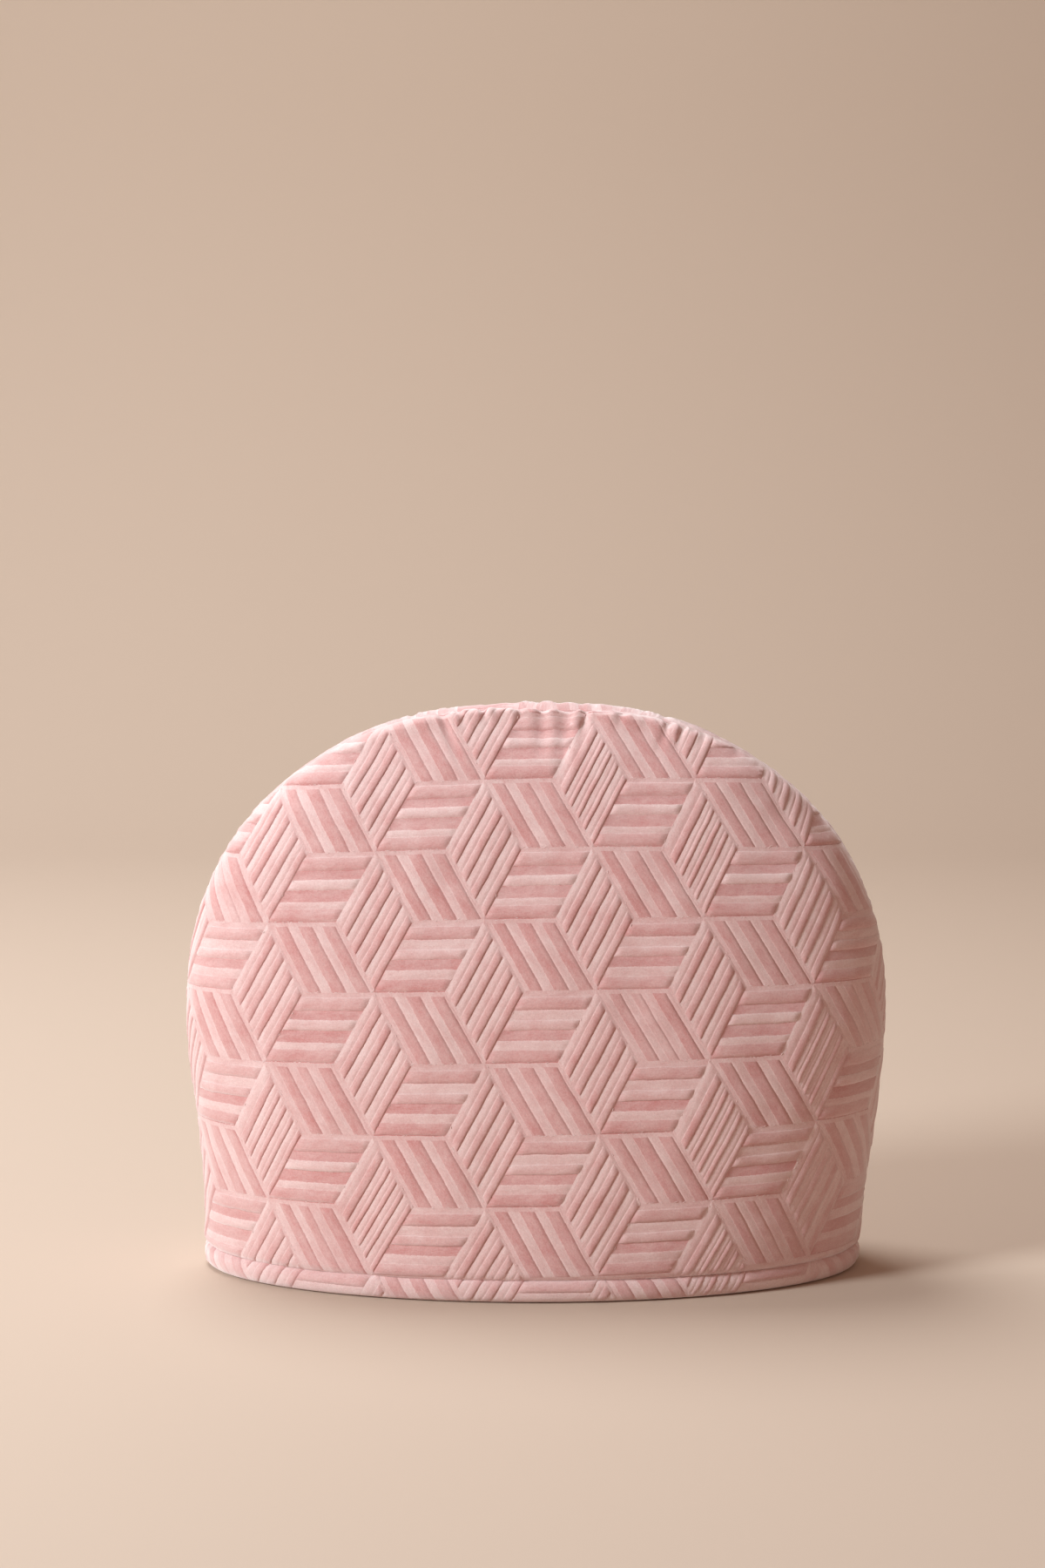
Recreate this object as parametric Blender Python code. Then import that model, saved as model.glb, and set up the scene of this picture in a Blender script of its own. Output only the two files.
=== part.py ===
"""Padded velvet tea cosy: two arched panels seamed over the crown, on a rolled hem binding.

The front faces -Y, the hem rests on z = 0 and the cosy is open underneath.
All sizes are millimetres until a mesh is written, which is in metres.
"""

import math

import bmesh
import bpy
import numpy as np
from mathutils import Vector
from mathutils.geometry import delaunay_2d_cdt

MM = 0.001

# Outline seen from the front
HALF_WIDTH = 160.0          # at the widest level
WIDEST_LEVEL = 122.0
LOW_HALF_WIDTH = 151.6      # at the hem
LOW_LEVEL = 15.0            # the sides start to swell here
ARCH_POWER = 2.2            # 2 would be an elliptic arch
HEM_SHIFT = -2.0            # the hem stands a little to the left under the body
HEM_SHIFT_LEVEL = 60.0      # and has come back in line at this height

# Outline seen from the side
HALF_DEPTH = 69.0
FRONT_CROWN = 262.3
BACK_CROWN = 264.5          # the back panel's puffed edge stands above the front's
LEAN_POWER = 2.1
RIDGE_POWER = 0.85          # below 1 rounds the ridge over into the seam

# Level sections: elliptic at the hem, a little flatter in front above it
SECTION_POWER = 2.0
SECTION_POWER_GAIN = 0.4
SECTION_POWER_LEVEL = 90.0

# The padded wall
WALL = 9.0
CROWN_WALL = 12.0           # the wall measured down from the ridge
SEAM_GAP = 0.3              # between neighbouring pieces
SEAM_SINK = 2.5             # how deep the arch seam pulls in
SEAM_REACH = 9.0            # and how far from it the pull is felt
CROWN_DIP = 3.8             # the front's seam is drawn further down at the gathers
CROWN_DIP_PLACE = 8.0
CROWN_DIP_REACH = 26.0
HEM_SINK = 3.0
HEM_REACH = 6.0

# Hem binding, a roll with a flat foot: distance out from its outer face, and height
HEM_HEIGHT = 10.0
HEM_SECTION = (
    (-1.9, 0.0), (0.0, 2.2), (0.4, 4.7), (0.0, 7.3), (-1.6, 9.2), (-4.0, 10.0),
    (-7.2, 9.9), (-9.8, 8.5), (-11.0, 5.7), (-10.8, 2.5), (-9.2, 0.0),
)
HEM_RIB_REACH = 4.5         # the ribs fade out this far in from the outer face
HEM_REPEATS = 7             # repeats of the cloth's pattern round the hem
# One repeat of the binding, station by station: rise of the pile, lean of the rib
HEM_STATIONS = (
    (0.8, -3.0), (0.0, -3.0), (0.8, -3.0), (0.0, -3.0), (0.8, -3.0), (0.0, -1.0),
    (0.8, 2.6), (0.0, 3.0), (0.8, 2.6), (0.0, 1.0), (0.5, 0.0), (0.5, 0.0),
    (0.5, 0.0), (0.0, 1.0), (0.8, 3.0), (0.0, 1.0),
)

# Tumbling-block pattern of the cloth: a level edge, and a slanting edge that leans both ways
LEVEL_EDGE = 32.7
SLANT_RUN = 18.15
SLANT_RISE = 32.15
PATTERN_TILT = math.radians(0.9)
PATTERN_DIP = 12.0          # rows drop this far at the sides of the crown
PATTERN_DRAW = 0.09         # columns draw together by this share at the crown
FRONT_PHASE = (-21.4, -30.15)
BACK_PHASE = (4.0, -8.0)

# Raised pile bands inside each block face
PILE_RISE = 1.0
PILE_SLOPE = 0.8
# Across the face, as shares of its width: where each band starts and ends
UPRIGHT_BANDS = ((0.13, 0.25), (0.38, 0.5), (0.63, 0.75), (0.88, 1.0))
LEVEL_BANDS = ((0.0, 0.17), (0.31, 0.455), (0.745, 0.91))
SLANT_BANDS = ((0.076, 0.259), (0.42, 0.625), (0.765, 0.958))
# Along the face: where its bands start and end
UPRIGHT_ENDS = (0.09, 0.91)
LEVEL_ENDS = (0.0, 1.0)
SLANT_ENDS = (0.0, 0.91)

# Gathers at the crown seam: place along the panel's width, length down, half width, depth
GATHER_MARGIN = 2.0         # their mesh lines start this far below the seam
FRONT_GATHERS = (
    (-46.0, 14.0, 3.5, 1.6), (-6.0, 16.0, 3.5, 1.8), (7.0, 18.0, 4.0, 2.0),
    (19.0, 14.0, 3.5, 1.6), (66.0, 10.0, 3.0, 1.2),
)
BACK_GATHERS = (
    (-60.0, 12.0, 3.5, 1.4), (-14.0, 16.0, 4.0, 1.8), (2.0, 14.0, 3.5, 1.6),
    (24.0, 14.0, 3.5, 1.6), (58.0, 10.0, 3.0, 1.2),
)

# Mesh steps
OUTLINE_STEP = 8.0
INNER_STEP = 26.0
SEAM_CONTOUR = 6.0
SECTION_SAMPLES = 97
PROFILE_SAMPLES = 400
MERGE = 0.02
PILE_FADE = 4.0             # the pile flattens this close to a seam
BAND_MARGIN = 3.5           # bands stop this far inside the outline
FLAT_REACH = 100.0          # bands inside this reach and climb are straight enough
FLAT_CLIMB = 190.0
PANEL_BASE = HEM_HEIGHT + SEAM_GAP

VELVET = (0.71, 0.43, 0.39, 1.0)


def sideways(z):
    """How far the level at height z is shifted along X."""
    share = np.clip(z / HEM_SHIFT_LEVEL, 0.0, 1.0)
    return HEM_SHIFT * (1.0 + np.cos(math.pi * share)) / 2


class Skin:
    """One smooth domed surface, measured like cloth: u round the side, v up from the hem."""

    def __init__(self, half_width, low_half_width, half_depth, crown, base):
        self.half_width = half_width
        self.low_half_width = low_half_width
        self.half_depth = half_depth
        self.crown = crown
        self.base = base
        climb = np.sin(np.linspace(0.0, math.pi / 2, PROFILE_SAMPLES))
        self.levels = base + (crown - base) * climb
        depths = self.depth_at(self.levels)
        steps = np.hypot(np.diff(self.levels), np.diff(depths))
        self.climbs = np.concatenate(([0.0], np.cumsum(steps)))
        self.length = self.climbs[-1]

    def width_at(self, z):
        """Half the arch's width at height z."""
        swell = np.clip((z - LOW_LEVEL) / (WIDEST_LEVEL - LOW_LEVEL), 0.0, 1.0)
        growth = (1.0 - np.cos(math.pi * swell)) / 2
        low = self.low_half_width + (self.half_width - self.low_half_width) * growth
        share = np.clip((z - WIDEST_LEVEL) / (self.crown - WIDEST_LEVEL), 0.0, 1.0)
        return low * (1.0 - share ** ARCH_POWER) ** (1.0 / ARCH_POWER)

    def depth_at(self, z):
        """Half the depth at height z, at the middle of the panel."""
        share = np.clip(z / self.crown, 0.0, 1.0)
        return self.half_depth * (1.0 - share ** LEAN_POWER) ** RIDGE_POWER

    def section(self, z, angle):
        """Points of the level section at height z: x, and distance from the seam plane."""
        power = SECTION_POWER + SECTION_POWER_GAIN * np.clip(z / SECTION_POWER_LEVEL, 0.0, 1.0)
        size = (np.sin(angle) ** power + np.cos(angle) ** power) ** (1.0 / power)
        x = self.width_at(z) * np.sin(angle) / size
        return x, self.depth_at(z) * np.cos(angle) / size

    def girth(self, z):
        """Length along the section at height z, from the middle out to the seam, in steps."""
        angles = np.linspace(0.0, math.pi / 2, SECTION_SAMPLES)
        x, y = self.section(np.asarray(z)[..., None], angles)
        steps = np.hypot(np.diff(x, axis=-1), np.diff(y, axis=-1))
        return np.concatenate((np.zeros_like(x[..., :1]), np.cumsum(steps, axis=-1)), axis=-1)

    def height(self, v):
        return np.interp(v, self.climbs, self.levels)

    def climb(self, z):
        return np.interp(z, self.levels, self.climbs)

    def reach(self, v):
        """How far the panel reaches to either side at v."""
        return self.girth(self.height(v))[..., -1]

    def place(self, u, v):
        """Points of the surface, as rows of x, y, z."""
        z = self.height(v)
        girth = self.girth(z)
        span = np.minimum(np.abs(u), girth[:, -1])
        index = np.clip((girth < span[:, None]).sum(axis=1) - 1, 0, SECTION_SAMPLES - 2)
        rows = np.arange(len(span))
        start = girth[rows, index]
        step = np.maximum(girth[rows, index + 1] - start, 1e-9)
        angle = (index + (span - start) / step) * (math.pi / 2) / (SECTION_SAMPLES - 1)
        x, y = self.section(z, np.clip(angle, 0.0, math.pi / 2))
        return np.stack((np.sign(u) * x, -y, z), axis=1)

    def normal(self, u, v):
        """Unit vectors pointing out of the surface."""
        delta = 0.5
        across = self.place(u + delta, v) - self.place(u - delta, v)
        up = self.place(u, v + delta) - self.place(u, v - delta)
        return unit(np.cross(across, up))


class Pattern:
    """The tumbling-block lattice of the cloth, cut at its own place for each panel."""

    def __init__(self, phase, length):
        self.phase = phase
        self.length = length
        level = np.array((LEVEL_EDGE, 0.0))
        right = np.array((SLANT_RUN, SLANT_RISE))
        left = np.array((-SLANT_RUN, SLANT_RISE))
        # Each face: its first corner from the node, the edge its bands follow, the edge across
        self.faces = (
            (left, right, -left, UPRIGHT_BANDS, UPRIGHT_ENDS),
            (0.0 * level, level, right, LEVEL_BANDS, LEVEL_ENDS),
            (-level, left, level, SLANT_BANDS, SLANT_ENDS),
        )

    def to_pattern(self, u, v):
        """Straight pattern coordinates of a point of the cloth."""
        rise = (v / self.length) ** 2
        dip = PATTERN_DIP * rise * (u / HALF_WIDTH) ** 2
        drawn = u * (1.0 + PATTERN_DRAW * rise)
        p = drawn * math.cos(PATTERN_TILT) + v * math.sin(PATTERN_TILT) - self.phase[0]
        q = v * math.cos(PATTERN_TILT) - u * math.sin(PATTERN_TILT) + dip - self.phase[1]
        return p, q

    def to_cloth(self, p, q):
        """The point of the cloth at straight pattern coordinates."""
        u, v = p + self.phase[0], q + self.phase[1]
        for _ in range(6):
            near_p, near_q = self.to_pattern(u, v)
            u, v = u + p - near_p, v + q - near_q
        return u, v

    def nodes(self, reach):
        """Lattice nodes whose faces can touch the panel."""
        columns = math.ceil(reach / (LEVEL_EDGE + SLANT_RUN)) + 1
        rows = math.ceil(self.length / (2 * SLANT_RISE)) + 2
        for column in range(-columns, columns + 1):
            for row in range(-columns, rows + columns):
                yield np.array((
                    column * (LEVEL_EDGE + SLANT_RUN),
                    column * SLANT_RISE + 2 * row * SLANT_RISE,
                ))

    def pile(self, u, v):
        """Height of the raised pile at points of the cloth, 0 in the grooves."""
        p, q = self.to_pattern(u, v)
        pitch = LEVEL_EDGE + SLANT_RUN
        best = np.zeros_like(p)
        for shift in (-1, 0, 1, 2):
            column = np.floor(p / pitch) + shift
            row = np.floor((q - column * SLANT_RISE) / (2 * SLANT_RISE))
            x = p - column * pitch
            y = q - (column + 2 * row) * SLANT_RISE
            for corner, along, across, bands, ends in self.faces:
                area = along[0] * across[1] - along[1] * across[0]
                dx, dy = x - corner[0], y - corner[1]
                f = (dx * across[1] - dy * across[0]) / area
                g = (along[0] * dy - along[1] * dx) / area
                slope_f = PILE_SLOPE * np.linalg.norm(across) / abs(area)
                slope_g = PILE_SLOPE * np.linalg.norm(along) / abs(area)
                for start, end in bands:
                    side = np.minimum(g - start, end - g) / slope_g
                    tip = np.minimum(f - ends[0], ends[1] - f) / slope_f
                    best = np.maximum(best, np.clip(np.minimum(side, tip), 0.0, 1.0))
        return best * PILE_RISE

    def band_lines(self, reach):
        """Lines round the foot and the top of each band, and between them, on the cloth."""
        lines = []
        for node in self.nodes(reach):
            for corner, along, across, bands, ends in self.faces:
                area = abs(along[0] * across[1] - along[1] * across[0])
                slope_f = PILE_SLOPE * np.linalg.norm(across) / area
                slope_g = PILE_SLOPE * np.linalg.norm(along) / area
                for start, end in bands:
                    foot = loop_points(*ends, start, end)
                    top = loop_points(ends[0] + slope_f, ends[1] - slope_f,
                                      start + slope_g, end - slope_g)
                    pair = [node + corner + loop[:, :1] * along + loop[:, 1:] * across
                            for loop in (foot, top)]
                    foot, top = [np.stack(self.to_cloth(*loop.T), axis=1) for loop in pair]
                    if np.abs(foot[0, 0]) < FLAT_REACH and foot[0, 1] < FLAT_CLIMB:
                        foot, top = [np.delete(loop, (1, 4), axis=0) for loop in (foot, top)]
                    lines.append(np.stack((foot, np.roll(foot, 1, axis=0)), axis=1))
                    lines.append(np.stack((top, np.roll(top, 1, axis=0)), axis=1))
                    lines.append(np.stack((foot, top), axis=1))
        return np.concatenate(lines)


def loop_points(near, far, start, end):
    """Corners and long-side middles of a band, as shares along and across its face."""
    middle = (near + far) / 2
    return np.array((
        (near, start), (middle, start), (far, start), (far, end), (middle, end), (near, end)))


def arch_line(skin):
    """The panel's edge in cloth coordinates, from its right foot over the crown to its left."""
    v = skin.length * np.sin(np.linspace(0.0, math.pi / 2, PROFILE_SAMPLES))
    u = skin.reach(v)
    run = np.concatenate(([0.0], np.cumsum(np.hypot(np.diff(u), np.diff(v)))))
    stops = np.linspace(0.0, run[-1], round(run[-1] / OUTLINE_STEP) + 1)
    right = np.stack((np.interp(stops, run, u), np.interp(stops, run, v)), axis=1)
    right[-1] = (0.0, skin.length)
    return np.concatenate((right, right[-2::-1] * (-1.0, 1.0)))


def outline(skin):
    """The panel's whole outline: the foot from left to right, then the arch back again."""
    arch = arch_line(skin)
    half_base = arch[0, 0]
    count = round(2 * half_base / OUTLINE_STEP)
    foot = np.linspace(-half_base, half_base, count + 1)[1:-1]
    return np.concatenate((arch, np.stack((foot, np.zeros_like(foot)), axis=1)))


def moved_in(ring, inset):
    """A convex ring's corners moved in by inset."""
    ahead = unit(np.roll(ring, -1, axis=0) - ring)
    turn = unit(ahead + np.roll(ahead, 1, axis=0))
    inward = np.stack((-turn[:, 1], turn[:, 0]), axis=1)
    return ring + inward * (inset / (ahead * turn).sum(axis=1))[:, None]


def line_distance(points, line):
    """Distance of each point to the nearest piece of an open line."""
    best = np.full(len(points), np.inf)
    for start, end in zip(line[:-1], line[1:]):
        side = end - start
        share = np.clip((points - start) @ side / (side @ side), 0.0, 1.0)
        near = start + share[:, None] * side
        best = np.minimum(best, np.linalg.norm(points - near, axis=1))
    return best


def depth_inside(points, ring):
    """How far each point lies inside a convex ring that runs counter-clockwise."""
    side = unit(np.roll(ring, -1, axis=0) - ring)
    off = points[..., None, :] - ring
    return (side[:, 0] * off[..., 1] - side[:, 1] * off[..., 0]).min(axis=-1)


def clipped(lines, ring):
    """The pieces of straight lines that lie inside a convex ring."""
    side = unit(np.roll(ring, -1, axis=0) - ring)
    off = lines[:, :, None, :] - ring
    depth = side[:, 0] * off[..., 1] - side[:, 1] * off[..., 0]
    start, end = depth[:, 0], depth[:, 1]
    with np.errstate(divide="ignore", invalid="ignore"):
        share = start / (start - end)
    enter = np.where(start < 0.0, share, 0.0).max(axis=1)
    leave = np.where(end < 0.0, share, 1.0).min(axis=1)
    kept = (enter < leave) & ~((start < 0.0) & (end < 0.0)).any(axis=1)
    lines, enter, leave = lines[kept], enter[kept, None], leave[kept, None]
    step = lines[:, 1] - lines[:, 0]
    return np.stack((lines[:, 0] + enter * step, lines[:, 0] + leave * step), axis=1)


def ring_edges(first, count):
    """Index pairs round a closed ring of count points."""
    return [(first + index, first + (index + 1) % count) for index in range(count)]


def inside(points, ring):
    """Which points lie inside a closed ring of corners."""
    result = np.zeros(len(points), dtype=bool)
    x, y = points.T
    for (x0, y0), (x1, y1) in zip(ring, np.roll(ring, -1, axis=0)):
        if y0 != y1:
            spans = (y0 > y) != (y1 > y)
            result ^= spans & (x < x0 + (y - y0) * (x1 - x0) / (y1 - y0))
    return result


def cut_cloth(ring, lines, loose):
    """Triangles of the flat cloth inside ring, cut along the lines; the ring comes first."""
    points = [*ring, *lines.reshape(-1, 2), *loose]
    edges = ring_edges(0, len(ring))
    edges.extend((first, first + 1) for first in range(len(ring), len(points) - len(loose), 2))
    flat, _, faces, _, _, _ = delaunay_2d_cdt(
        [Vector(point) for point in points], edges, [], 0, MERGE, False)
    flat = np.array([tuple(point) for point in flat])
    faces = np.array([tuple(face) for face in faces])
    return flat, faces[inside(flat[faces].mean(axis=1), ring)]


def crown_above(skin, u):
    """The height on the cloth, v, of the arch above a place across the panel."""
    v = np.linspace(0.0, skin.length, PROFILE_SAMPLES)
    return np.interp(-np.abs(u), -skin.reach(v)[PROFILE_SAMPLES // 3:], v[PROFILE_SAMPLES // 3:])


def gather_lines(skin, gathers):
    """Mesh lines down each gather's fold and its two flanks."""
    lines = []
    for place, length, half_width, _ in gathers:
        for u in (place - half_width, place, place + half_width):
            top = float(crown_above(skin, u))
            lines.append(((u, top - GATHER_MARGIN), (u, top - length)))
    return np.array(lines)


def gather_depth(skin, u, v, gathers):
    """How far the gathers pull the cloth in at points of the panel."""
    below = np.maximum(crown_above(skin, u) - v, 0.0)
    depth = np.zeros_like(u)
    for place, length, half_width, fold in gathers:
        across = np.clip(1.0 - np.abs(u - place) / half_width, 0.0, 1.0)
        down = np.clip(1.0 - below / length, 0.0, 1.0)
        depth = np.maximum(depth, fold * across * down)
    return depth


def unit(rows):
    return rows / np.maximum(np.linalg.norm(rows, axis=1, keepdims=True), 1e-9)


def dressed(skin, pattern, gathers, crown_dip, flat):
    """The outer face of a panel: the smooth skin with its pile, gathers and sunk seams."""
    u, v = flat[:, 0], flat[:, 1]
    places = skin.place(u, v)
    out = skin.normal(u, v)
    from_seam = line_distance(flat, arch_line(skin))
    at_seam = np.clip(1.0 - from_seam / SEAM_REACH, 0.0, 1.0) ** 2
    at_hem = np.clip(1.0 - v / HEM_REACH, 0.0, 1.0) ** 2
    fade = np.clip(np.minimum(from_seam, v) / PILE_FADE, 0.0, 1.0)
    rise = pattern.pile(u, v) * fade - gather_depth(skin, u, v, gathers)
    centre = places * (1.0, 0.0, 1.0)
    centre[:, 2] = np.maximum(centre[:, 2] - WIDEST_LEVEL, 0.0)
    dip = crown_dip * np.exp(-((u - CROWN_DIP_PLACE) / CROWN_DIP_REACH) ** 2)
    seam_pull = unit(centre) * ((SEAM_SINK + dip) * at_seam)[:, None]
    hem_pull = unit(out * (1.0, 1.0, 0.0)) * np.maximum(
        HEM_SINK * at_hem - SEAM_SINK * at_seam, 0.0)[:, None]
    return places + out * rise[:, None] - seam_pull - hem_pull


def panel_mesh(name, crown, crown_dip, phase, gathers, facing):
    """A padded panel: its patterned face, a plain inner face and the edges between them."""
    skin = Skin(HALF_WIDTH, LOW_HALF_WIDTH, HALF_DEPTH, crown, PANEL_BASE)
    lining = Skin(HALF_WIDTH - WALL, LOW_HALF_WIDTH - WALL, HALF_DEPTH - WALL,
                  crown - CROWN_WALL, PANEL_BASE)
    pattern = Pattern(phase, skin.length)
    ring = outline(skin)
    widest = float(np.abs(ring[:, 0]).max())
    bands = clipped(pattern.band_lines(widest), moved_in(ring, BAND_MARGIN))
    lines = np.concatenate((bands, gather_lines(skin, gathers)))
    flat, faces = cut_cloth(ring, lines, moved_in(ring, SEAM_CONTOUR))
    outer = dressed(skin, pattern, gathers, crown_dip, flat)
    count = len(ring)
    on_foot = ring[:, 1] < MERGE
    on_arch = ~on_foot | (np.abs(ring[:, 0]) > ring[0, 0] - MERGE)
    outer[:count][on_arch, 1] = 0.0
    outer[:count][on_foot, 2] = PANEL_BASE

    # The inner face has one rim point for each rim point of the outer face
    share = (skin.height(ring[:, 1]) - PANEL_BASE) / (crown - PANEL_BASE)
    climb = lining.climb(PANEL_BASE + share * (lining.crown - PANEL_BASE))
    across = ring[:, 0] / np.maximum(skin.reach(ring[:, 1]), MERGE)
    inner_ring = np.stack((across * lining.reach(climb), climb), axis=1)
    columns = math.ceil(widest / INNER_STEP)
    grid = np.array([(column * INNER_STEP, v) for column in range(-columns, columns + 1)
                     for v in np.arange(INNER_STEP / 2, lining.length, INNER_STEP)])
    grid = grid[depth_inside(grid, outline(lining)) > INNER_STEP / 3]
    inner_flat, inner_faces = cut_cloth(inner_ring, np.empty((0, 2, 2)), grid)
    inner = lining.place(inner_flat[:, 0], inner_flat[:, 1])
    inner[:count][on_arch, 1] = 0.0

    places = np.concatenate((outer, inner))
    places[:, 1] -= SEAM_GAP / 2
    places[:, :2] *= facing
    places[:, 0] += sideways(places[:, 2])
    first = len(outer)
    solid = [tuple(face) for face in faces.tolist()]
    solid.extend(tuple(face) for face in (inner_faces[:, ::-1] + first).tolist())
    for start, end in ring_edges(0, count):
        solid.append((end, start, first + start, first + end))
    return write_mesh(name, places, solid)


def hem_mesh():
    """The rolled binding: its section swept round the open edge, with slanting ribs of pile."""
    angles = np.linspace(0.0, 2 * math.pi, 4 * PROFILE_SAMPLES)
    x, y = LOW_HALF_WIDTH * np.cos(angles), HALF_DEPTH * np.sin(angles)
    run = np.concatenate(([0.0], np.cumsum(np.hypot(np.diff(x), np.diff(y)))))
    count = HEM_REPEATS * len(HEM_STATIONS)
    places = []
    for station in range(count):
        rise, lean = HEM_STATIONS[station % len(HEM_STATIONS)]
        for out, z in HEM_SECTION:
            shown = max(0.0, 1.0 + out / HEM_RIB_REACH)
            along = run[-1] * station / count + lean * shown * (2 * z / HEM_HEIGHT - 1.0)
            angle = np.interp(along % run[-1], run, angles)
            normal = Vector((math.cos(angle) / LOW_HALF_WIDTH, math.sin(angle) / HALF_DEPTH))
            normal.normalize()
            reach = out + rise * shown
            places.append((
                LOW_HALF_WIDTH * math.cos(angle) + reach * normal.x + HEM_SHIFT,
                HALF_DEPTH * math.sin(angle) + reach * normal.y,
                z,
            ))
    width = len(HEM_SECTION)
    faces = []
    for station in range(count):
        start, after = station * width, (station + 1) % count * width
        for index in range(width):
            beside = (index + 1) % width
            faces.append((start + index, after + index, after + beside, start + beside))
    return write_mesh("hem_binding", np.array(places), faces)


def write_mesh(name, places, faces):
    """A Blender object from points in millimetres and faces."""
    mesh = bpy.data.meshes.new(name)
    mesh.from_pydata([Vector(place) * MM for place in places.tolist()], [], faces)
    form = bmesh.new()
    form.from_mesh(mesh)
    bmesh.ops.remove_doubles(form, verts=form.verts, dist=MERGE * MM)
    bmesh.ops.triangulate(form, faces=form.faces)
    bmesh.ops.recalc_face_normals(form, faces=form.faces)
    form.to_mesh(mesh)
    form.free()
    return bpy.data.objects.new(name, mesh)


def velvet(name):
    """Dusty pink velvet."""
    material = bpy.data.materials.new(name)
    material.use_nodes = True
    surface = material.node_tree.nodes["Principled BSDF"]
    surface.inputs["Base Color"].default_value = VELVET
    surface.inputs["Roughness"].default_value = 0.9
    surface.inputs["Metallic"].default_value = 0.0
    surface.inputs["Sheen Weight"].default_value = 0.5
    return material


def main():
    for item in list(bpy.data.objects):
        bpy.data.objects.remove(item, do_unlink=True)
    parts = bpy.data.collections.new("tea cosy")
    bpy.context.scene.collection.children.link(parts)
    pieces = (
        panel_mesh("front_panel", FRONT_CROWN, CROWN_DIP, FRONT_PHASE, FRONT_GATHERS, 1.0),
        panel_mesh("back_panel", BACK_CROWN, 0.0, BACK_PHASE, BACK_GATHERS, -1.0),
        hem_mesh(),
    )
    for piece in pieces:
        parts.objects.link(piece)
        piece.data.materials.append(velvet(piece.name + " velvet"))
        print(piece.name, len(piece.data.polygons))


main()
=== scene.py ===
"""Looks of the padded velvet tea cosy: two patterned panels seamed over the crown, and a hem.

The front faces -Y and the hem rests on z = 0. Sizes are millimetres until a mesh is written.
"""

import math
from collections import namedtuple

import bmesh
import bpy
import numpy as np
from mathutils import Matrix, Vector
from mathutils.bvhtree import BVHTree
from mathutils.geometry import delaunay_2d_cdt


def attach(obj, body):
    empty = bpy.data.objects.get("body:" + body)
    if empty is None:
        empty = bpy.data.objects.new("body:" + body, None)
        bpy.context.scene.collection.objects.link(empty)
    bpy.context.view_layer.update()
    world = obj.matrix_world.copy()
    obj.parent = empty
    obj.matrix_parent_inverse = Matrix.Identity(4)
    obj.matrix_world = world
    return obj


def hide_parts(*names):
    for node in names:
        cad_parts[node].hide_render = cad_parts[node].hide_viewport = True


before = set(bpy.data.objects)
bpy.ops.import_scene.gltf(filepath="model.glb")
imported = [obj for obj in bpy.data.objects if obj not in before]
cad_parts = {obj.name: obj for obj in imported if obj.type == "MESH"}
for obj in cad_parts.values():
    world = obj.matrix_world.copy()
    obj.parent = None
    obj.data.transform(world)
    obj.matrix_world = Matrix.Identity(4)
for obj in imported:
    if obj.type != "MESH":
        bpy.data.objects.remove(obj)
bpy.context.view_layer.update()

MM = 0.001

# Outline seen from the front
HALF_WIDTH = 160.0          # at the widest level
WIDEST_LEVEL = 122.0
LOW_HALF_WIDTH = 151.6      # at the hem
LOW_LEVEL = 15.0            # the sides start to swell here
ARCH_POWER = 2.2            # how full the arch is: 2 is a half ellipse
HEM_SHIFT = -2.0            # the hem stands a little to the left under the body
HEM_SHIFT_LEVEL = 60.0      # and no longer does at this level

# Outline seen from the side
HALF_DEPTH = 69.0
LEAN_POWER = 2.1            # the higher, the later the dome leans in
RIDGE_POWER = 0.85          # the lower, the blunter its ridge

# Level sections: elliptic at the hem, a little flatter in front above it
SECTION_POWER = 2.0
SECTION_POWER_GAIN = 0.4
SECTION_POWER_LEVEL = 90.0  # the full gain is reached here

# The padded wall and its seams
WALL = 9.0
CROWN_WALL = 12.0           # measured down from the crown
SEAM_GAP = 0.3              # between the solids; here the roll's cloth closes it
ARCH_GAP = 0.1              # the two panels all but touch along the arch
SEAM_SINK = 0.7             # how deep the arch seam pulls in
SEAM_REACH = 4.5            # and how far from it the pull is felt
LIP_RISE = 0.3              # the padding swells beside the seam
LIP_PLACE = 7.0
LIP_REACH = 4.0
CROWN_LIP_PLACE = 4.2       # and bulges like a cushion's edge along the crown
CROWN_LIP_REACH = 3.2
CROWN_LIP_START = 2.0       # growing from the seam over this much
CROWN_STEEP = 0.72          # it starts where the arch faces this much upwards
CROWN_TURN = 0.24           # and is full where it faces this much more upwards
SEAM_DIP = 3.0              # the seam is drawn further down at the gathers
DIP_REACH = 9.0             # which is felt this far down from it
CROWN_DIP_PLACE = 8.0       # middle of the gathers
CROWN_DIP_REACH = 34.0      # and how far they spread to either side
HEM_SINK = 2.2              # the panels' foot is drawn in above the hem
HEM_REACH = 4.0
HEM_HEIGHT = 10.0           # of the hem's solid
PANEL_BASE = HEM_HEIGHT + SEAM_GAP

# Tumbling-block pattern of the cloth: a level edge, and a slanting edge that leans both ways
LEVEL_EDGE = 32.7
SLANT_RUN = 18.15
SLANT_RISE = 32.15
PITCH = LEVEL_EDGE + SLANT_RUN
PATTERN_TILT = math.radians(0.9)
PATTERN_DIP = 12.0          # rows drop this far at the sides of the crown
PATTERN_DRAW = 0.09         # columns draw together by this share at the crown

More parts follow.
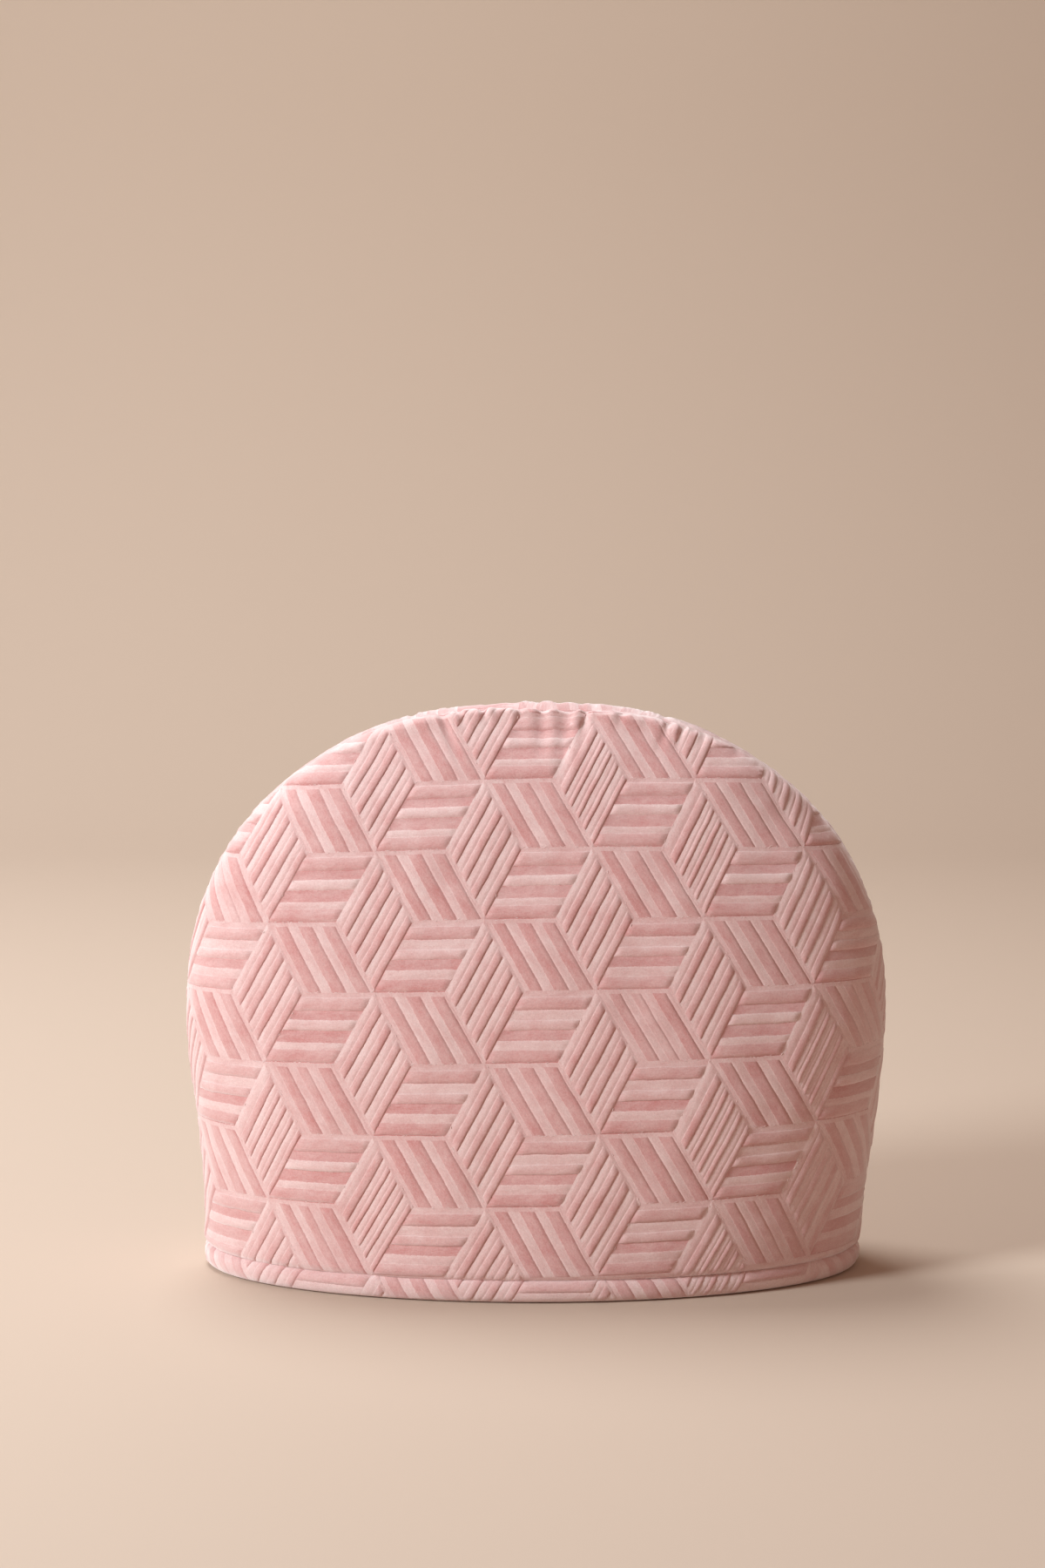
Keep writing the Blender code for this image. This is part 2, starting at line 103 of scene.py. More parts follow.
# Relief of the pile. The heights here and in the strips below are in mm
RELIEF = 0.53               # the panels take this share of them
ROLL_RELIEF = 0.42          # and the roll this share
EDGE_HEIGHT = 0.1           # along the edges of the block faces
CREASE_DEPTH = 0.12         # a strip's shaded edge is drawn down below its neighbour
CREASE_SHARE = 0.8          # but by no more than this share of the step
STEP_REACH = 0.26           # a step between two strips takes this much to either side
STEP_SHAPE = ((-1.0, 0.0), (-0.5, 0.15), (0.5, 0.85), (1.0, 1.0))      # place and share risen
END_REACH = 0.45            # the end of a strip takes this much
HIGHLIGHT_LIP_SHARE = 0.16            # of the lip on the lit side of each rib in the upright strips, whose tone is a painted highlight
ARCH_FADE = 6.0             # the relief fades out this close to the arch seam
FOOT_FADE = 1.4             # and this close to the hem

# Tones of the pile, with painted highlights and shade: 0 is the deepest pink and 1 the palest
BORDER_TONE = 0.75          # of the borders between the block faces
PLAIN_TONE = 0.5            # of the inner side
STRAY_TONE = 0.2            # strips of a kind differ by this much
PAINTED_HIGHLIGHT_EDGE = 0.34             # painted highlight: the tone is paler along a strip's lit edge
PAINTED_CREASE_SHADE = -0.28              # painted shade: the tone is deeper in the crease on its other side
FULL_STEP = 0.3             # steps at least this high take the full painted highlight or painted shade
PAINTED_SWELL_SHADE = 1.0           # painted shade: how much a swelling strip's tone deepens from its lit side to the other
TONE_LIMITS = (-0.4, 1.4)   # tones with painted highlights and shade stay within these
NAP_SHIFT = 90.0            # each block face takes its streaks from a place up to this far off
NAP_SHIFT_ACROSS = 1.7      # and this many times as far across the strips

# Strips across each block face: start and end are shares of its width, height is that of the
# strip's two sides, and swell is how far its middle stands above them
Strip = namedtuple("Strip", "start end tone height swell")


def ribs(places, pale_share):
    """A lip with a painted highlight, a pale rib and a fuller, deeper one between each two of the
    given places.
    """
    for start, end in zip(places[:-1], places[1:]):
        lip = start + HIGHLIGHT_LIP_SHARE * (end - start)
        middle = start + pale_share * (end - start)
        # The lip's tone past the palest pink is a painted highlight on the rib's lit edge
        yield Strip(start, lip, 1.2, 0.2, 0.0)
        yield Strip(lip, middle, 0.8, 0.3, 0.28)
        yield Strip(middle, end, 0.32, 0.66, 0.46)


UPRIGHT_EVEN = tuple(ribs((0.0, 0.25, 0.5, 0.75, 1.0), pale_share=0.52))
UPRIGHT_UNEVEN = tuple(ribs((0.0, 0.29, 0.46, 0.63, 0.8, 1.0), pale_share=0.58))
LEVEL_LIGHT = (
    Strip(0.0, 0.18, 0.22, 0.5, 0.45),
    Strip(0.18, 0.31, 0.95, 0.3, 0.2),
    Strip(0.31, 0.45, 0.12, 0.0, 0.0),
    Strip(0.45, 0.59, 0.62, 0.5, 0.5),
    Strip(0.59, 0.735, 0.95, 0.0, 0.1),
    Strip(0.735, 0.91, 0.3, 0.5, 0.45),
    Strip(0.91, 1.0, 0.75, 0.1, 0.0),
)
LEVEL_DEEP = (
    Strip(0.0, 0.19, 0.24, 0.5, 0.45),
    Strip(0.19, 0.29, 0.95, 0.3, 0.2),
    Strip(0.29, 0.46, 0.14, 0.0, 0.0),
    Strip(0.46, 0.61, 0.95, 0.5, 0.5),
    Strip(0.61, 0.74, 0.16, 0.0, 0.0),
    Strip(0.74, 0.93, 0.42, 0.5, 0.45),
    Strip(0.93, 1.0, 0.75, 0.1, 0.0),
)
SLANT_EVEN = (
    Strip(0.0, 0.076, 0.78, 0.1, 0.0),
    Strip(0.076, 0.259, 0.18, 0.26, 0.1),
    Strip(0.259, 0.42, 0.92, 0.12, 0.05),
    Strip(0.42, 0.625, 0.14, 0.26, 0.1),
    Strip(0.625, 0.765, 0.88, 0.12, 0.05),
    Strip(0.765, 0.958, 0.2, 0.26, 0.1),
    Strip(0.958, 1.0, 0.75, 0.1, 0.0),
)
SLANT_UNEVEN = (
    Strip(0.0, 0.13, 0.82, 0.12, 0.05),
    Strip(0.13, 0.3, 0.2, 0.26, 0.1),
    Strip(0.3, 0.43, 0.9, 0.12, 0.05),
    Strip(0.43, 0.58, 0.4, 0.25, 0.1),
    Strip(0.58, 0.74, 0.75, 0.14, 0.05),
    Strip(0.74, 0.93, 0.14, 0.28, 0.1),
    Strip(0.93, 1.0, 0.75, 0.1, 0.0),
)

# Gathers at the crown seam: place across the panel, length down, half width, depth, slant
Gather = namedtuple("Gather", "place length half_width depth slant")
FRONT_GATHERS = (
    Gather(-44.0, 34.0, 3.6, 2.2, -0.35),
    Gather(-36.0, 20.0, 2.8, 1.5, -0.35),
    Gather(-25.0, 16.0, 3.0, 1.4, -0.3),
    Gather(-9.0, 24.0, 3.8, 1.6, -0.1),
    Gather(2.5, 38.0, 4.4, 2.6, 0.0),
    Gather(13.5, 46.0, 5.0, 2.7, 0.06),
    Gather(23.0, 26.0, 3.4, 1.8, 0.12),
    Gather(61.0, 24.0, 3.0, 1.3, 0.35),
    Gather(68.0, 20.0, 2.8, 1.2, 0.35),
    Gather(77.0, 14.0, 2.6, 0.8, 0.35),
)
BACK_GATHERS = (
    Gather(-60.0, 22.0, 3.2, 0.9, -0.3),
    Gather(-21.0, 20.0, 3.2, 0.9, 0.0),
    Gather(-11.0, 30.0, 3.8, 1.2, 0.0),
    Gather(-1.0, 22.0, 3.2, 1.0, 0.0),
    Gather(24.0, 22.0, 3.2, 1.0, 0.2),
    Gather(58.0, 18.0, 3.0, 0.9, 0.3),
)

# Unevenness of the handmade cloth: size in mm and the length of its waves
WOBBLE = ((0.12, 18.0), (0.05, 5.0))            # of the strips' edges
LEVEL_WOBBLE = ((0.09, 8.0), (0.05, 3.0))       # and of the level strips on top of that,
LEVEL_CALM = 12.0           # fading out over a twelfth of the face at its borders
UNEVEN = ((0.55, 75.0), (0.22, 26.0))           # of the padding
ROLL_UNEVEN = (0.25, 30.0)                      # of the roll's padding
CALM_REACH = 12.0           # near its seams the cloth is drawn smooth

# Small tucks all along the arch seam
TUCK_LENGTH = 8.0
TUCK_REACH = 9.0
TUCK_START = 1.5            # they grow from the seam over this much
TUCK_STRETCH = 3.0          # and change this many times more slowly away from it than along it

# Where each kind of chance starts, counted from its panel's own number
ACROSS_CHANCE = 0
UP_CHANCE = 10
PADDING_CHANCE = 20
TUCK_CHANCE = 30
LEVEL_CHANCE = 40
THREAD_CHANCE = 60
STRIP_CHANCE = 9            # and of a strip's tone, counted from its number in its face

# Mesh steps
OUTLINE_STEP = 2.4          # along the outline
ALONG_STEP = 2.8            # along the strips
CONTOURS = (0.8, 1.8, 3.2, 5.0, 7.5, 10.5)     # mesh lines this far inside the outline
CLIP_MARGIN = 0.5           # the pattern's mesh lines end this far inside it
INNER_STEP = 9.0            # over the inner side
SECTION_SAMPLES = 97        # points along half a level section
PROFILE_SAMPLES = 600       # and up the middle of a panel
CLOTH_ROUNDS = 8            # of finding a point of the cloth from its place in the pattern
TRIM_ROUNDS = 12            # of finding where a mesh line leaves the panel
MERGE = 0.02                # points closer than this are one
SPECK = 0.06                # length of a line that only gives the mesh a point
SHARP_ANGLE = math.radians(68.0)        # edges that turn more than this are shaded sharp

# The rolled hem binding
ROLL_SECTION = (            # distance out from its outer face, and height
    (-3.0, 0.0), (-0.5, 1.5), (0.5, 4.6), (0.5, 7.6), (-0.7, 9.9), (-3.0, 10.7),
    (-7.2, 10.7), (-9.8, 8.8), (-11.0, 5.7), (-10.8, 2.5), (-9.2, 0.0),
)
ROLL_REPEATS = 7            # repeats of the pattern round the hem
ROLL_NODE = -19.8           # place of a pattern node, from the middle of the front
ROLL_CENTRE = 24.0          # place up the pattern of the roll's outermost line
ROLL_ROUNDS = 3             # corner-cutting rounds that smooth the section
ROLL_START = 1.0            # the ribs start this far round from the foot
ROLL_START_FADE = 2.0       # and reach their height over this much
ROLL_PAST_TOP = 5.0         # they end this far past the top
ROLL_PAST_TOP_FADE = 3.0
ROLL_END_FADE = 3.0         # and fade out this close to the strip's two ends
ROLL_PLAIN_START = 6.0      # the plain mesh starts this far past the top
ROLL_PLAIN_STEP = 1.6       # its mesh step round the section
ROLL_ROUND_STEP = 1.2       # and the one at the strip's two ends
ROLL_EDGE_FADE = 4.0        # the padding is even this close to the strip's long edges
ROLL_LOOP = 100.0           # its unevenness is read round a loop, so that the ends agree
ROLL_CHANCE = 71


def waves(x, y, length, seed, count=9):
    """Smooth random waves of about the given length, from -1 to 1 or so."""
    random = np.random.default_rng(seed)
    total = np.zeros_like(x)
    for _ in range(count):
        angle = random.uniform(0.0, 2 * math.pi)
        pace = 2 * math.pi / length * random.uniform(0.7, 1.5)
        phase = random.uniform(0.0, 2 * math.pi)
        total += np.sin(pace * (x * math.cos(angle) + y * math.sin(angle)) + phase)
    return total / math.sqrt(2 * count)


def chance(*keys):
    """A repeatable random share from 0 to 1 for each row of whole-number keys."""
    mixed = np.zeros(np.broadcast(*keys).shape)
    for place, key in enumerate(keys):
        mixed = mixed + (key + 3.7) * (12.9898 + 65.233 * place)
    return np.modf(np.abs(np.sin(mixed) * 43758.5453))[0]


def unit(rows):
    """Rows of numbers, each brought to length 1."""
    return rows / np.maximum(np.linalg.norm(rows, axis=-1, keepdims=True), 1e-9)


def ease(share):
    """A smooth step from 0 to 1."""
    share = np.clip(share, 0.0, 1.0)
    return share * share * (3.0 - 2.0 * share)


def sideways(z):
    """How far the level at height z is shifted along X."""
    share = np.clip(z / HEM_SHIFT_LEVEL, 0.0, 1.0)
    return HEM_SHIFT * (1.0 + np.cos(math.pi * share)) / 2


class Skin:
    """One smooth domed surface, measured like cloth: u round the side, v up from the hem."""

    def __init__(self, half_width, low_half_width, half_depth, crown):
        self.half_width = half_width
        self.low_half_width = low_half_width
        self.half_depth = half_depth
        self.crown = crown
        climb = np.sin(np.linspace(0.0, math.pi / 2, PROFILE_SAMPLES))
        self.levels = PANEL_BASE + (crown - PANEL_BASE) * climb
        steps = np.hypot(np.diff(self.levels), np.diff(self.depth_at(self.levels)))
        self.climbs = np.concatenate(([0.0], np.cumsum(steps)))
        self.length = self.climbs[-1]
        self.reaches = self.girth(self.levels)[:, -1]

    def width_at(self, z):
        """Half the arch's width at height z."""
        swell = np.clip((z - LOW_LEVEL) / (WIDEST_LEVEL - LOW_LEVEL), 0.0, 1.0)
        growth = (1.0 - np.cos(math.pi * swell)) / 2
        low = self.low_half_width + (self.half_width - self.low_half_width) * growth
        share = np.clip((z - WIDEST_LEVEL) / (self.crown - WIDEST_LEVEL), 0.0, 1.0)
        return low * (1.0 - share ** ARCH_POWER) ** (1.0 / ARCH_POWER)

    def depth_at(self, z):
        """Half the depth at height z, at the middle of the panel."""
        share = np.clip(z / self.crown, 0.0, 1.0)
        return self.half_depth * (1.0 - share ** LEAN_POWER) ** RIDGE_POWER

    def section(self, z, angle):
        """Points of the level section at height z: x, and distance from the seam plane."""
        power = SECTION_POWER + SECTION_POWER_GAIN * np.clip(z / SECTION_POWER_LEVEL, 0.0, 1.0)
        size = (np.sin(angle) ** power + np.cos(angle) ** power) ** (1.0 / power)
        x = self.width_at(z) * np.sin(angle) / size
        return x, self.depth_at(z) * np.cos(angle) / size

    def girth(self, z):
        """Length along the section at height z, from the middle out to the seam, in steps."""
        angles = np.linspace(0.0, math.pi / 2, SECTION_SAMPLES)
        x, y = self.section(np.asarray(z)[..., None], angles)
        steps = np.hypot(np.diff(x, axis=-1), np.diff(y, axis=-1))
        return np.concatenate((np.zeros_like(x[..., :1]), np.cumsum(steps, axis=-1)), axis=-1)

    def height(self, v):
        """Height above the floor at v."""
        return np.interp(v, self.climbs, self.levels)

    def climb(self, z):
        """The v at height z."""
        return np.interp(z, self.levels, self.climbs)

    def reach(self, v):
        """How far the panel reaches to either side at v."""
        return np.interp(v, self.climbs, self.reaches)

    def place(self, u, v):
        """Points of the surface, as rows of x, y, z."""
        z = self.height(v)
        girth = self.girth(z)
        span = np.minimum(np.abs(u), girth[:, -1])
        index = np.clip((girth < span[:, None]).sum(axis=1) - 1, 0, SECTION_SAMPLES - 2)
        rows = np.arange(len(span))
        start = girth[rows, index]
        step = np.maximum(girth[rows, index + 1] - start, 1e-9)
        angle = (index + (span - start) / step) * (math.pi / 2) / (SECTION_SAMPLES - 1)
        x, y = self.section(z, np.clip(angle, 0.0, math.pi / 2))
        return np.stack((np.sign(u) * x, -y, z), axis=1)

    def within(self, flat):
        """Which points of the cloth lie inside the panel by more than the clip margin."""
        u, v = np.abs(flat[..., 0]), flat[..., 1]
        low = v > CLIP_MARGIN
        beside = u < self.reach(v) - CLIP_MARGIN
        return low & beside & (u < self.reach(v + CLIP_MARGIN)) & (v < self.length - CLIP_MARGIN)


def strip_profile(strips, width, edge_height, lit_steps):
    """Places across a block face, the height of the relief there, and its steps."""
    reach = STEP_REACH / width
    steps = []
    edge = Strip(0.0, 0.0, 0.0, edge_height, 0.0)
    places, heights = [0.0], [edge_height]

    def add_step(place, low, high):
        step = high - low
        steps.append((place, reach / 2, step))
        for share, rise in STEP_SHAPE:
            places.append(place + share * reach)
            heights.append(low + rise * step)
        if step * lit_steps < 0.0:
            crease = min(CREASE_DEPTH, CREASE_SHARE * abs(step))
            heights[-3] = heights[-2] = min(low, high) - crease

    for before, strip in zip((edge, *strips), strips):
        nudge = reach if strip.start == 0.0 else 0.0
        add_step(strip.start + nudge, before.height, strip.height)
        if strip.swell:
            span = strip.end - strip.start - 2 * reach
            for share in (0.25, 0.5, 0.75):
                places.append(strip.start + nudge + reach + share * (span - nudge))
                heights.append(strip.height + strip.swell * (1.0 - (2 * share - 1.0) ** 2))
    add_step(1.0 - reach, strips[-1].height, edge_height)
    order = np.argsort(places, kind="stable")
    return np.array(places)[order], np.array(heights)[order], steps


class BlockFace:
    """One of the three faces of a tumbling block, with two ways of filling it with strips."""

    def __init__(self, corner, along, across, ends, edge_height, lit_steps, layouts):
        self.corner, self.along, self.across, self.ends = corner, along, across, ends
        self.edge_height = edge_height
        self.lit_steps = lit_steps      # 1 where rising steps face the light, -1 where falling ones do; those get a painted highlight
        self.area = along[0] * across[1] - along[1] * across[0]
        self.length = float(np.linalg.norm(along))
        self.width = abs(self.area) / self.length
        self.layouts = layouts
        self.profiles = [
            strip_profile(layout, self.width, edge_height, lit_steps) for layout in layouts]
        self.end_reach = END_REACH * float(np.linalg.norm(across)) / abs(self.area)

    def shares(self, x, y):
        """Shares along and across the face of points measured from its node."""
        dx, dy = x - self.corner[0], y - self.corner[1]
        along = (dx * self.across[1] - dy * self.across[0]) / self.area
        return along, (self.along[0] * dy - self.along[1] * dx) / self.area

    def relief(self, layout, f, g):
        """Height of the pile at shares along and across the face."""
        places, heights, _ = self.profiles[layout]
        tip = np.minimum(f - self.ends[0], self.ends[1] - f) / self.end_reach
        rise = self.edge_height + (np.interp(g, places, heights) - self.edge_height) * ease(tip)
        # The face's own borders all lie at the common level
        border = np.minimum(np.minimum(f, 1.0 - f) / self.end_reach,
                            np.minimum(g, 1.0 - g) * self.width / STEP_REACH)
        return EDGE_HEIGHT + (rise - EDGE_HEIGHT) * ease(border)

    def lines(self, layout):
        """Mesh lines over the face, in steps, as shares along and across."""
        near, far = self.ends
        reach = self.end_reach
        tips = {0.0, reach, near, near + reach, far - reach, far, 1.0 - reach, 1.0}
        tips = sorted(round(tip, 5) for tip in tips)
        count = math.ceil((far - near) * self.length / ALONG_STEP)
        stops = sorted({*tips, *np.linspace(near + reach, far - reach, count)[1:-1]})
        places = np.unique(np.round(self.profiles[layout][0], 5))
        f, g = np.meshgrid(stops, places, indexing="ij")
        grid = np.stack((f, g), axis=-1)
        along = np.stack((grid[:-1], grid[1:]), axis=2).reshape(-1, 2, 2)
        rows = [stops.index(tip) for tip in tips]
        across = np.stack((grid[rows, :-1], grid[rows, 1:]), axis=2).reshape(-1, 2, 2)
        return np.concatenate((along, across))


LEVEL = np.array((LEVEL_EDGE, 0.0))
RIGHT = np.array((SLANT_RUN, SLANT_RISE))
LEFT = np.array((-SLANT_RUN, SLANT_RISE))
FACES = (                   # each from a pattern node, and the strips end at the shares given
    BlockFace(corner=LEFT, along=RIGHT, across=-LEFT, ends=(0.035, 0.965),
              edge_height=0.3, lit_steps=1, layouts=(UPRIGHT_EVEN, UPRIGHT_UNEVEN)),
    BlockFace(corner=np.zeros(2), along=LEVEL, across=RIGHT, ends=(0.0, 1.0),
              edge_height=0.1, lit_steps=-1, layouts=(LEVEL_LIGHT, LEVEL_DEEP)),
    BlockFace(corner=-LEVEL, along=LEFT, across=LEVEL, ends=(0.0, 0.94),
              edge_height=0.16, lit_steps=1, layouts=(SLANT_EVEN, SLANT_UNEVEN)),
)
LEVEL_KIND = 1              # the level-striped face's number in that list
SECOND_LAYOUT_SHARE = (0.25, 0.4, 0.3)      # how often each face has its second filling

# Thread ends in the borders that leave each node of the pattern
Border = namedtuple("Border", "run spacing share")
BORDERS = (
    Border(LEVEL, 1.5, 0.6),
    Border(-LEVEL, 1.5, 0.6),
    Border(RIGHT, 2.2, 0.22),
    Border(LEFT, 2.2, 0.22),
    Border(-RIGHT, 2.2, 0.22),
    Border(-LEFT, 2.2, 0.22),
)
THREAD_SPREAD = 0.5         # how far to either side of the border
THREAD_MARGIN = 4.0         # none this close to a seam
THREAD_AHEAD = 0.4          # step along the border that shows which way it runs
THREAD_SCALES = (0.55, 1.3)     # the smallest and the largest, against the sizes below
THREAD_SIZES = {            # stray is how far it turns off the border, in radians
    "Length": 0.95 * MM, "Lift": 0.22 * MM, "Thickness": 0.12 * MM, "Stray": 0.4, "Seed": 3}

# The two panels. Drop is how far the edge comes down from the crown's height at the seam, so
# that the taller back meets the front. Lip is the height of the puffed edge along the crown,
# tucks that of the small tucks, and phase the place of a pattern node.
Plan = namedtuple("Plan", "name facing seed crown drop lip tucks phase gathers")
FRONT = Plan(
    name="front_cloth", facing=1.0, seed=5, crown=262.3, drop=0.0, lip=1.3, tucks=0.45,
    phase=(-21.4, -30.15), gathers=FRONT_GATHERS)
BACK = Plan(
    name="back_cloth", facing=-1.0, seed=55, crown=264.5, drop=3.4, lip=3.0, tucks=0.25,
    phase=(4.0, -8.0), gathers=BACK_GATHERS)

# Lights: places and sizes in metres. Each aims at the height given, over the middle of the hem
Lamp = namedtuple("Lamp", "name place aim size power colour")
LAMPS = (
    Lamp("key", (-1.75, -1.0, 1.02), 0.12, 0.6, 45.0, (0.95, 1.02, 1.06)),
    Lamp("top", (-0.4, 0.55, 1.58), 0.1, 0.9, 19.5, (0.97, 1.0, 1.02)),
    Lamp("rim", (-1.6, 1.0, 0.9), 0.12, 0.8, 5.0, (0.95, 1.0, 1.04)),
    Lamp("fill", (1.6, -1.6, 1.0), 0.1, 1.6, 2.2, (1.0, 0.7, 0.56)),
)
AMBIENT = (1.0, 0.66, 0.52, 1.0)        # light from all round
AMBIENT_STRENGTH = 0.28

# The camera stands at the photo's angle
LENS = 80.0
CAMERA_PLACE = (0.0, -1.5708, 0.4649)       # in metres
CAMERA_DOWN = 8.70          # degrees below level
CAMERA_LEFT = 0.229         # degrees to the left

# Colours and finishes
DEEP_PINK = (0.60, 0.280, 0.268, 1.0)
PALE_PINK = (0.73, 0.490, 0.476, 1.0)
THREAD_PINKS = ((0.70, 0.47, 0.455, 1.0), (0.88, 0.72, 0.70, 1.0))
# Painted light: a tone lift standing in for light, none on the panels
PANEL_PAINTED_LIGHT = 0.0
BINDING_PAINTED_LIGHT = 0.2      # painted light: the roll's velvet is painted this much paler, standing in for light on the hem
FLOOR_COLOUR = (0.57, 0.46, 0.37, 1.0)


def nodes(low, high):
    """Column, row and place of each node of the pattern over a span of pattern coordinates."""
    for column in range(math.floor(low[0] / PITCH) - 1, math.ceil(high[0] / PITCH) + 2):
        first = math.floor((low[1] / SLANT_RISE - column) / 2) - 1
        last = math.ceil((high[1] / SLANT_RISE - column) / 2) + 1
        for row in range(first, last + 1):
            yield column, row, np.array((column * PITCH, (column + 2 * row) * SLANT_RISE))


class Pattern:
    """The tumbling-block cloth: where each point of a piece lies in its pattern."""

    def __init__(self, phase, length, repeat=0):
        self.phase = phase
        self.length = length
        self.repeat = repeat            # columns after which the pattern starts again, if any

    def to_pattern(self, u, v):
        """Straight pattern coordinates of a point of the cloth."""
        rise = (v / self.length) ** 2
        dip = PATTERN_DIP * rise * (u / HALF_WIDTH) ** 2
        drawn = u * (1.0 + PATTERN_DRAW * rise)
        p = drawn * math.cos(PATTERN_TILT) + v * math.sin(PATTERN_TILT) - self.phase[0]
        q = v * math.cos(PATTERN_TILT) - u * math.sin(PATTERN_TILT) + dip - self.phase[1]
        return p, q

    def to_cloth(self, p, q):
        """The point of the cloth at straight pattern coordinates."""
        u, v = p + self.phase[0], q + self.phase[1]
        for _ in range(CLOTH_ROUNDS):
            near_p, near_q = self.to_pattern(u, v)
            u, v = u + p - near_p, v + q - near_q
        return u, v

    def layout(self, kind, column, row):
        """Which of its two layouts a block face has."""
        if self.repeat:
            row = row + np.floor(column / self.repeat) * self.repeat / 2
            column = np.mod(column, self.repeat)
        return (chance(column, row, kind) < SECOND_LAYOUT_SHARE[kind]).astype(int)

    def locate(self, p, q):
        """Block face, lattice node and shares along and across of pattern points."""
        best = np.full(p.shape, -np.inf)
        kind = np.zeros(p.shape, dtype=int)
        column, row, f, g = (np.zeros(p.shape) for _ in range(4))
        for shift in (-1, 0, 1, 2):
            near_column = np.floor(p / PITCH) + shift
            near_row = np.floor((q - near_column * SLANT_RISE) / (2 * SLANT_RISE))
            x = p - near_column * PITCH
            y = q - (near_column + 2 * near_row) * SLANT_RISE
            for index, face in enumerate(FACES):
                near_f, near_g = face.shares(x, y)
                depth = np.minimum(np.minimum(near_f, 1.0 - near_f),
                                   np.minimum(near_g, 1.0 - near_g))
                better = depth > best
                best = np.where(better, depth, best)
                kind = np.where(better, index, kind)
                column, row = np.where(better, near_column, column), np.where(better, near_row, row)
                f, g = np.where(better, near_f, f), np.where(better, near_g, g)
        return kind, column, row, f, g

    def relief(self, p, q):
        """Height of the pile at pattern points."""
        kind, column, row, f, g = self.locate(p, q)
        height = np.zeros(p.shape)
        for index, face in enumerate(FACES):
            layouts = self.layout(index, column, row)
            for layout in range(len(face.layouts)):
                mine = (kind == index) & (layouts == layout)
                height[mine] = face.relief(layout, f[mine], g[mine])
        return height

    def level_share(self, p, q):
        """1 inside the level-striped block faces, falling to 0 at their borders."""
        kind, _, _, f, g = self.locate(p, q)
        share = (ease(np.minimum(f, 1.0 - f) * LEVEL_CALM)
                 * ease(np.minimum(g, 1.0 - g) * LEVEL_CALM))
        return np.where(kind == LEVEL_KIND, share, 0.0)

    def lines(self, low, high):
        """All mesh lines of the pattern over a span of pattern coordinates."""
        found = []
        for column, row, node in nodes(low, high):
            for kind, face in enumerate(FACES):
                layout = int(self.layout(kind, np.float64(column), np.float64(row)))
                shares = face.lines(layout)
                found.append(node + face.corner + shares[..., :1] * face.along
                             + shares[..., 1:] * face.across)
        return np.concatenate(found)

    def shades(self, p, q, corner_p, corner_q):
        """Tones of each triangle's corners, with painted highlights and shade, and their places
        along its strip.
        """
        kind, column, row, f, g = self.locate(p, q)
        tone = np.full(corner_p.shape, BORDER_TONE)
        along = np.zeros(corner_p.shape)
        across = np.zeros(corner_p.shape)
        x = corner_p - (column * PITCH)[:, None]
        y = corner_q - ((column + 2 * row) * SLANT_RISE)[:, None]
        key_column = np.mod(column, self.repeat) if self.repeat else column
        for index, face in enumerate(FACES):
            layouts = self.layout(index, column, row)
            inside = (f > face.ends[0]) & (f < face.ends[1])
            corner_f, corner_g = face.shares(x, y)
            for layout, strips in enumerate(face.layouts):
                mine = (kind == index) & (layouts == layout)
                for number, strip in enumerate(strips):
                    chosen = mine & inside & (g >= strip.start) & (g < strip.end)
                    stray = chance(key_column[chosen], row[chosen], number + STRIP_CHANCE)
                    # Painted shade: a swelling strip's tone falls from its lit side to its other
                    # side
                    turn = (corner_g[chosen] - strip.start) / (strip.end - strip.start) - 0.5
                    turn *= -face.lit_steps * PAINTED_SWELL_SHADE * strip.swell
                    tone[chosen] = (strip.tone + STRAY_TONE * (stray - 0.5))[:, None] + turn
                # Painted highlights along the steps that face the light, painted shade in the
                # creases of the others
                for place, reach, step in face.profiles[layout][2]:
                    chosen = mine & inside & (np.abs(g - place) < reach)
                    change = PAINTED_HIGHLIGHT_EDGE if step * face.lit_steps > 0.0 else PAINTED_CREASE_SHADE
                    change *= min(1.0, abs(step) / FULL_STEP)
                    tone[chosen] = np.clip(tone[chosen] + change, *TONE_LIMITS)
            mine = kind == index
            shift = chance(key_column[mine], row[mine], index)[:, None] * NAP_SHIFT
            along[mine] = corner_f[mine] * face.length + shift
            across[mine] = corner_g[mine] * face.width + shift * NAP_SHIFT_ACROSS
        return tone, along, across


def arch_line(skin):
    """The panel's edge in cloth coordinates, from its right foot over the crown to its left."""
    v = skin.length * np.sin(np.linspace(0.0, math.pi / 2, PROFILE_SAMPLES))
    u = skin.reach(v)
    run = np.concatenate(([0.0], np.cumsum(np.hypot(np.diff(u), np.diff(v)))))
    stops = np.linspace(0.0, run[-1], round(run[-1] / OUTLINE_STEP) + 1)
    right = np.stack((np.interp(stops, run, u), np.interp(stops, run, v)), axis=1)
    right[-1] = (0.0, skin.length)
    return np.concatenate((right, right[-2::-1] * (-1.0, 1.0)))


def outline(skin):
    """The panel's whole outline: the arch, then the foot from left to right."""
    arch = arch_line(skin)
    count = round(2 * arch[0, 0] / OUTLINE_STEP)
    foot = np.linspace(-arch[0, 0], arch[0, 0], count + 1)[1:-1]
    return np.concatenate((arch, np.stack((foot, np.zeros_like(foot)), axis=1)))


def moved_in(ring, inset):
    """A ring's corners moved in by inset."""
    ahead = unit(np.roll(ring, -1, axis=0) - ring)
    turn = unit(ahead + np.roll(ahead, 1, axis=0))
    inward = np.stack((-turn[:, 1], turn[:, 0]), axis=1)
    return ring + inward * (inset / (ahead * turn).sum(axis=1))[:, None]


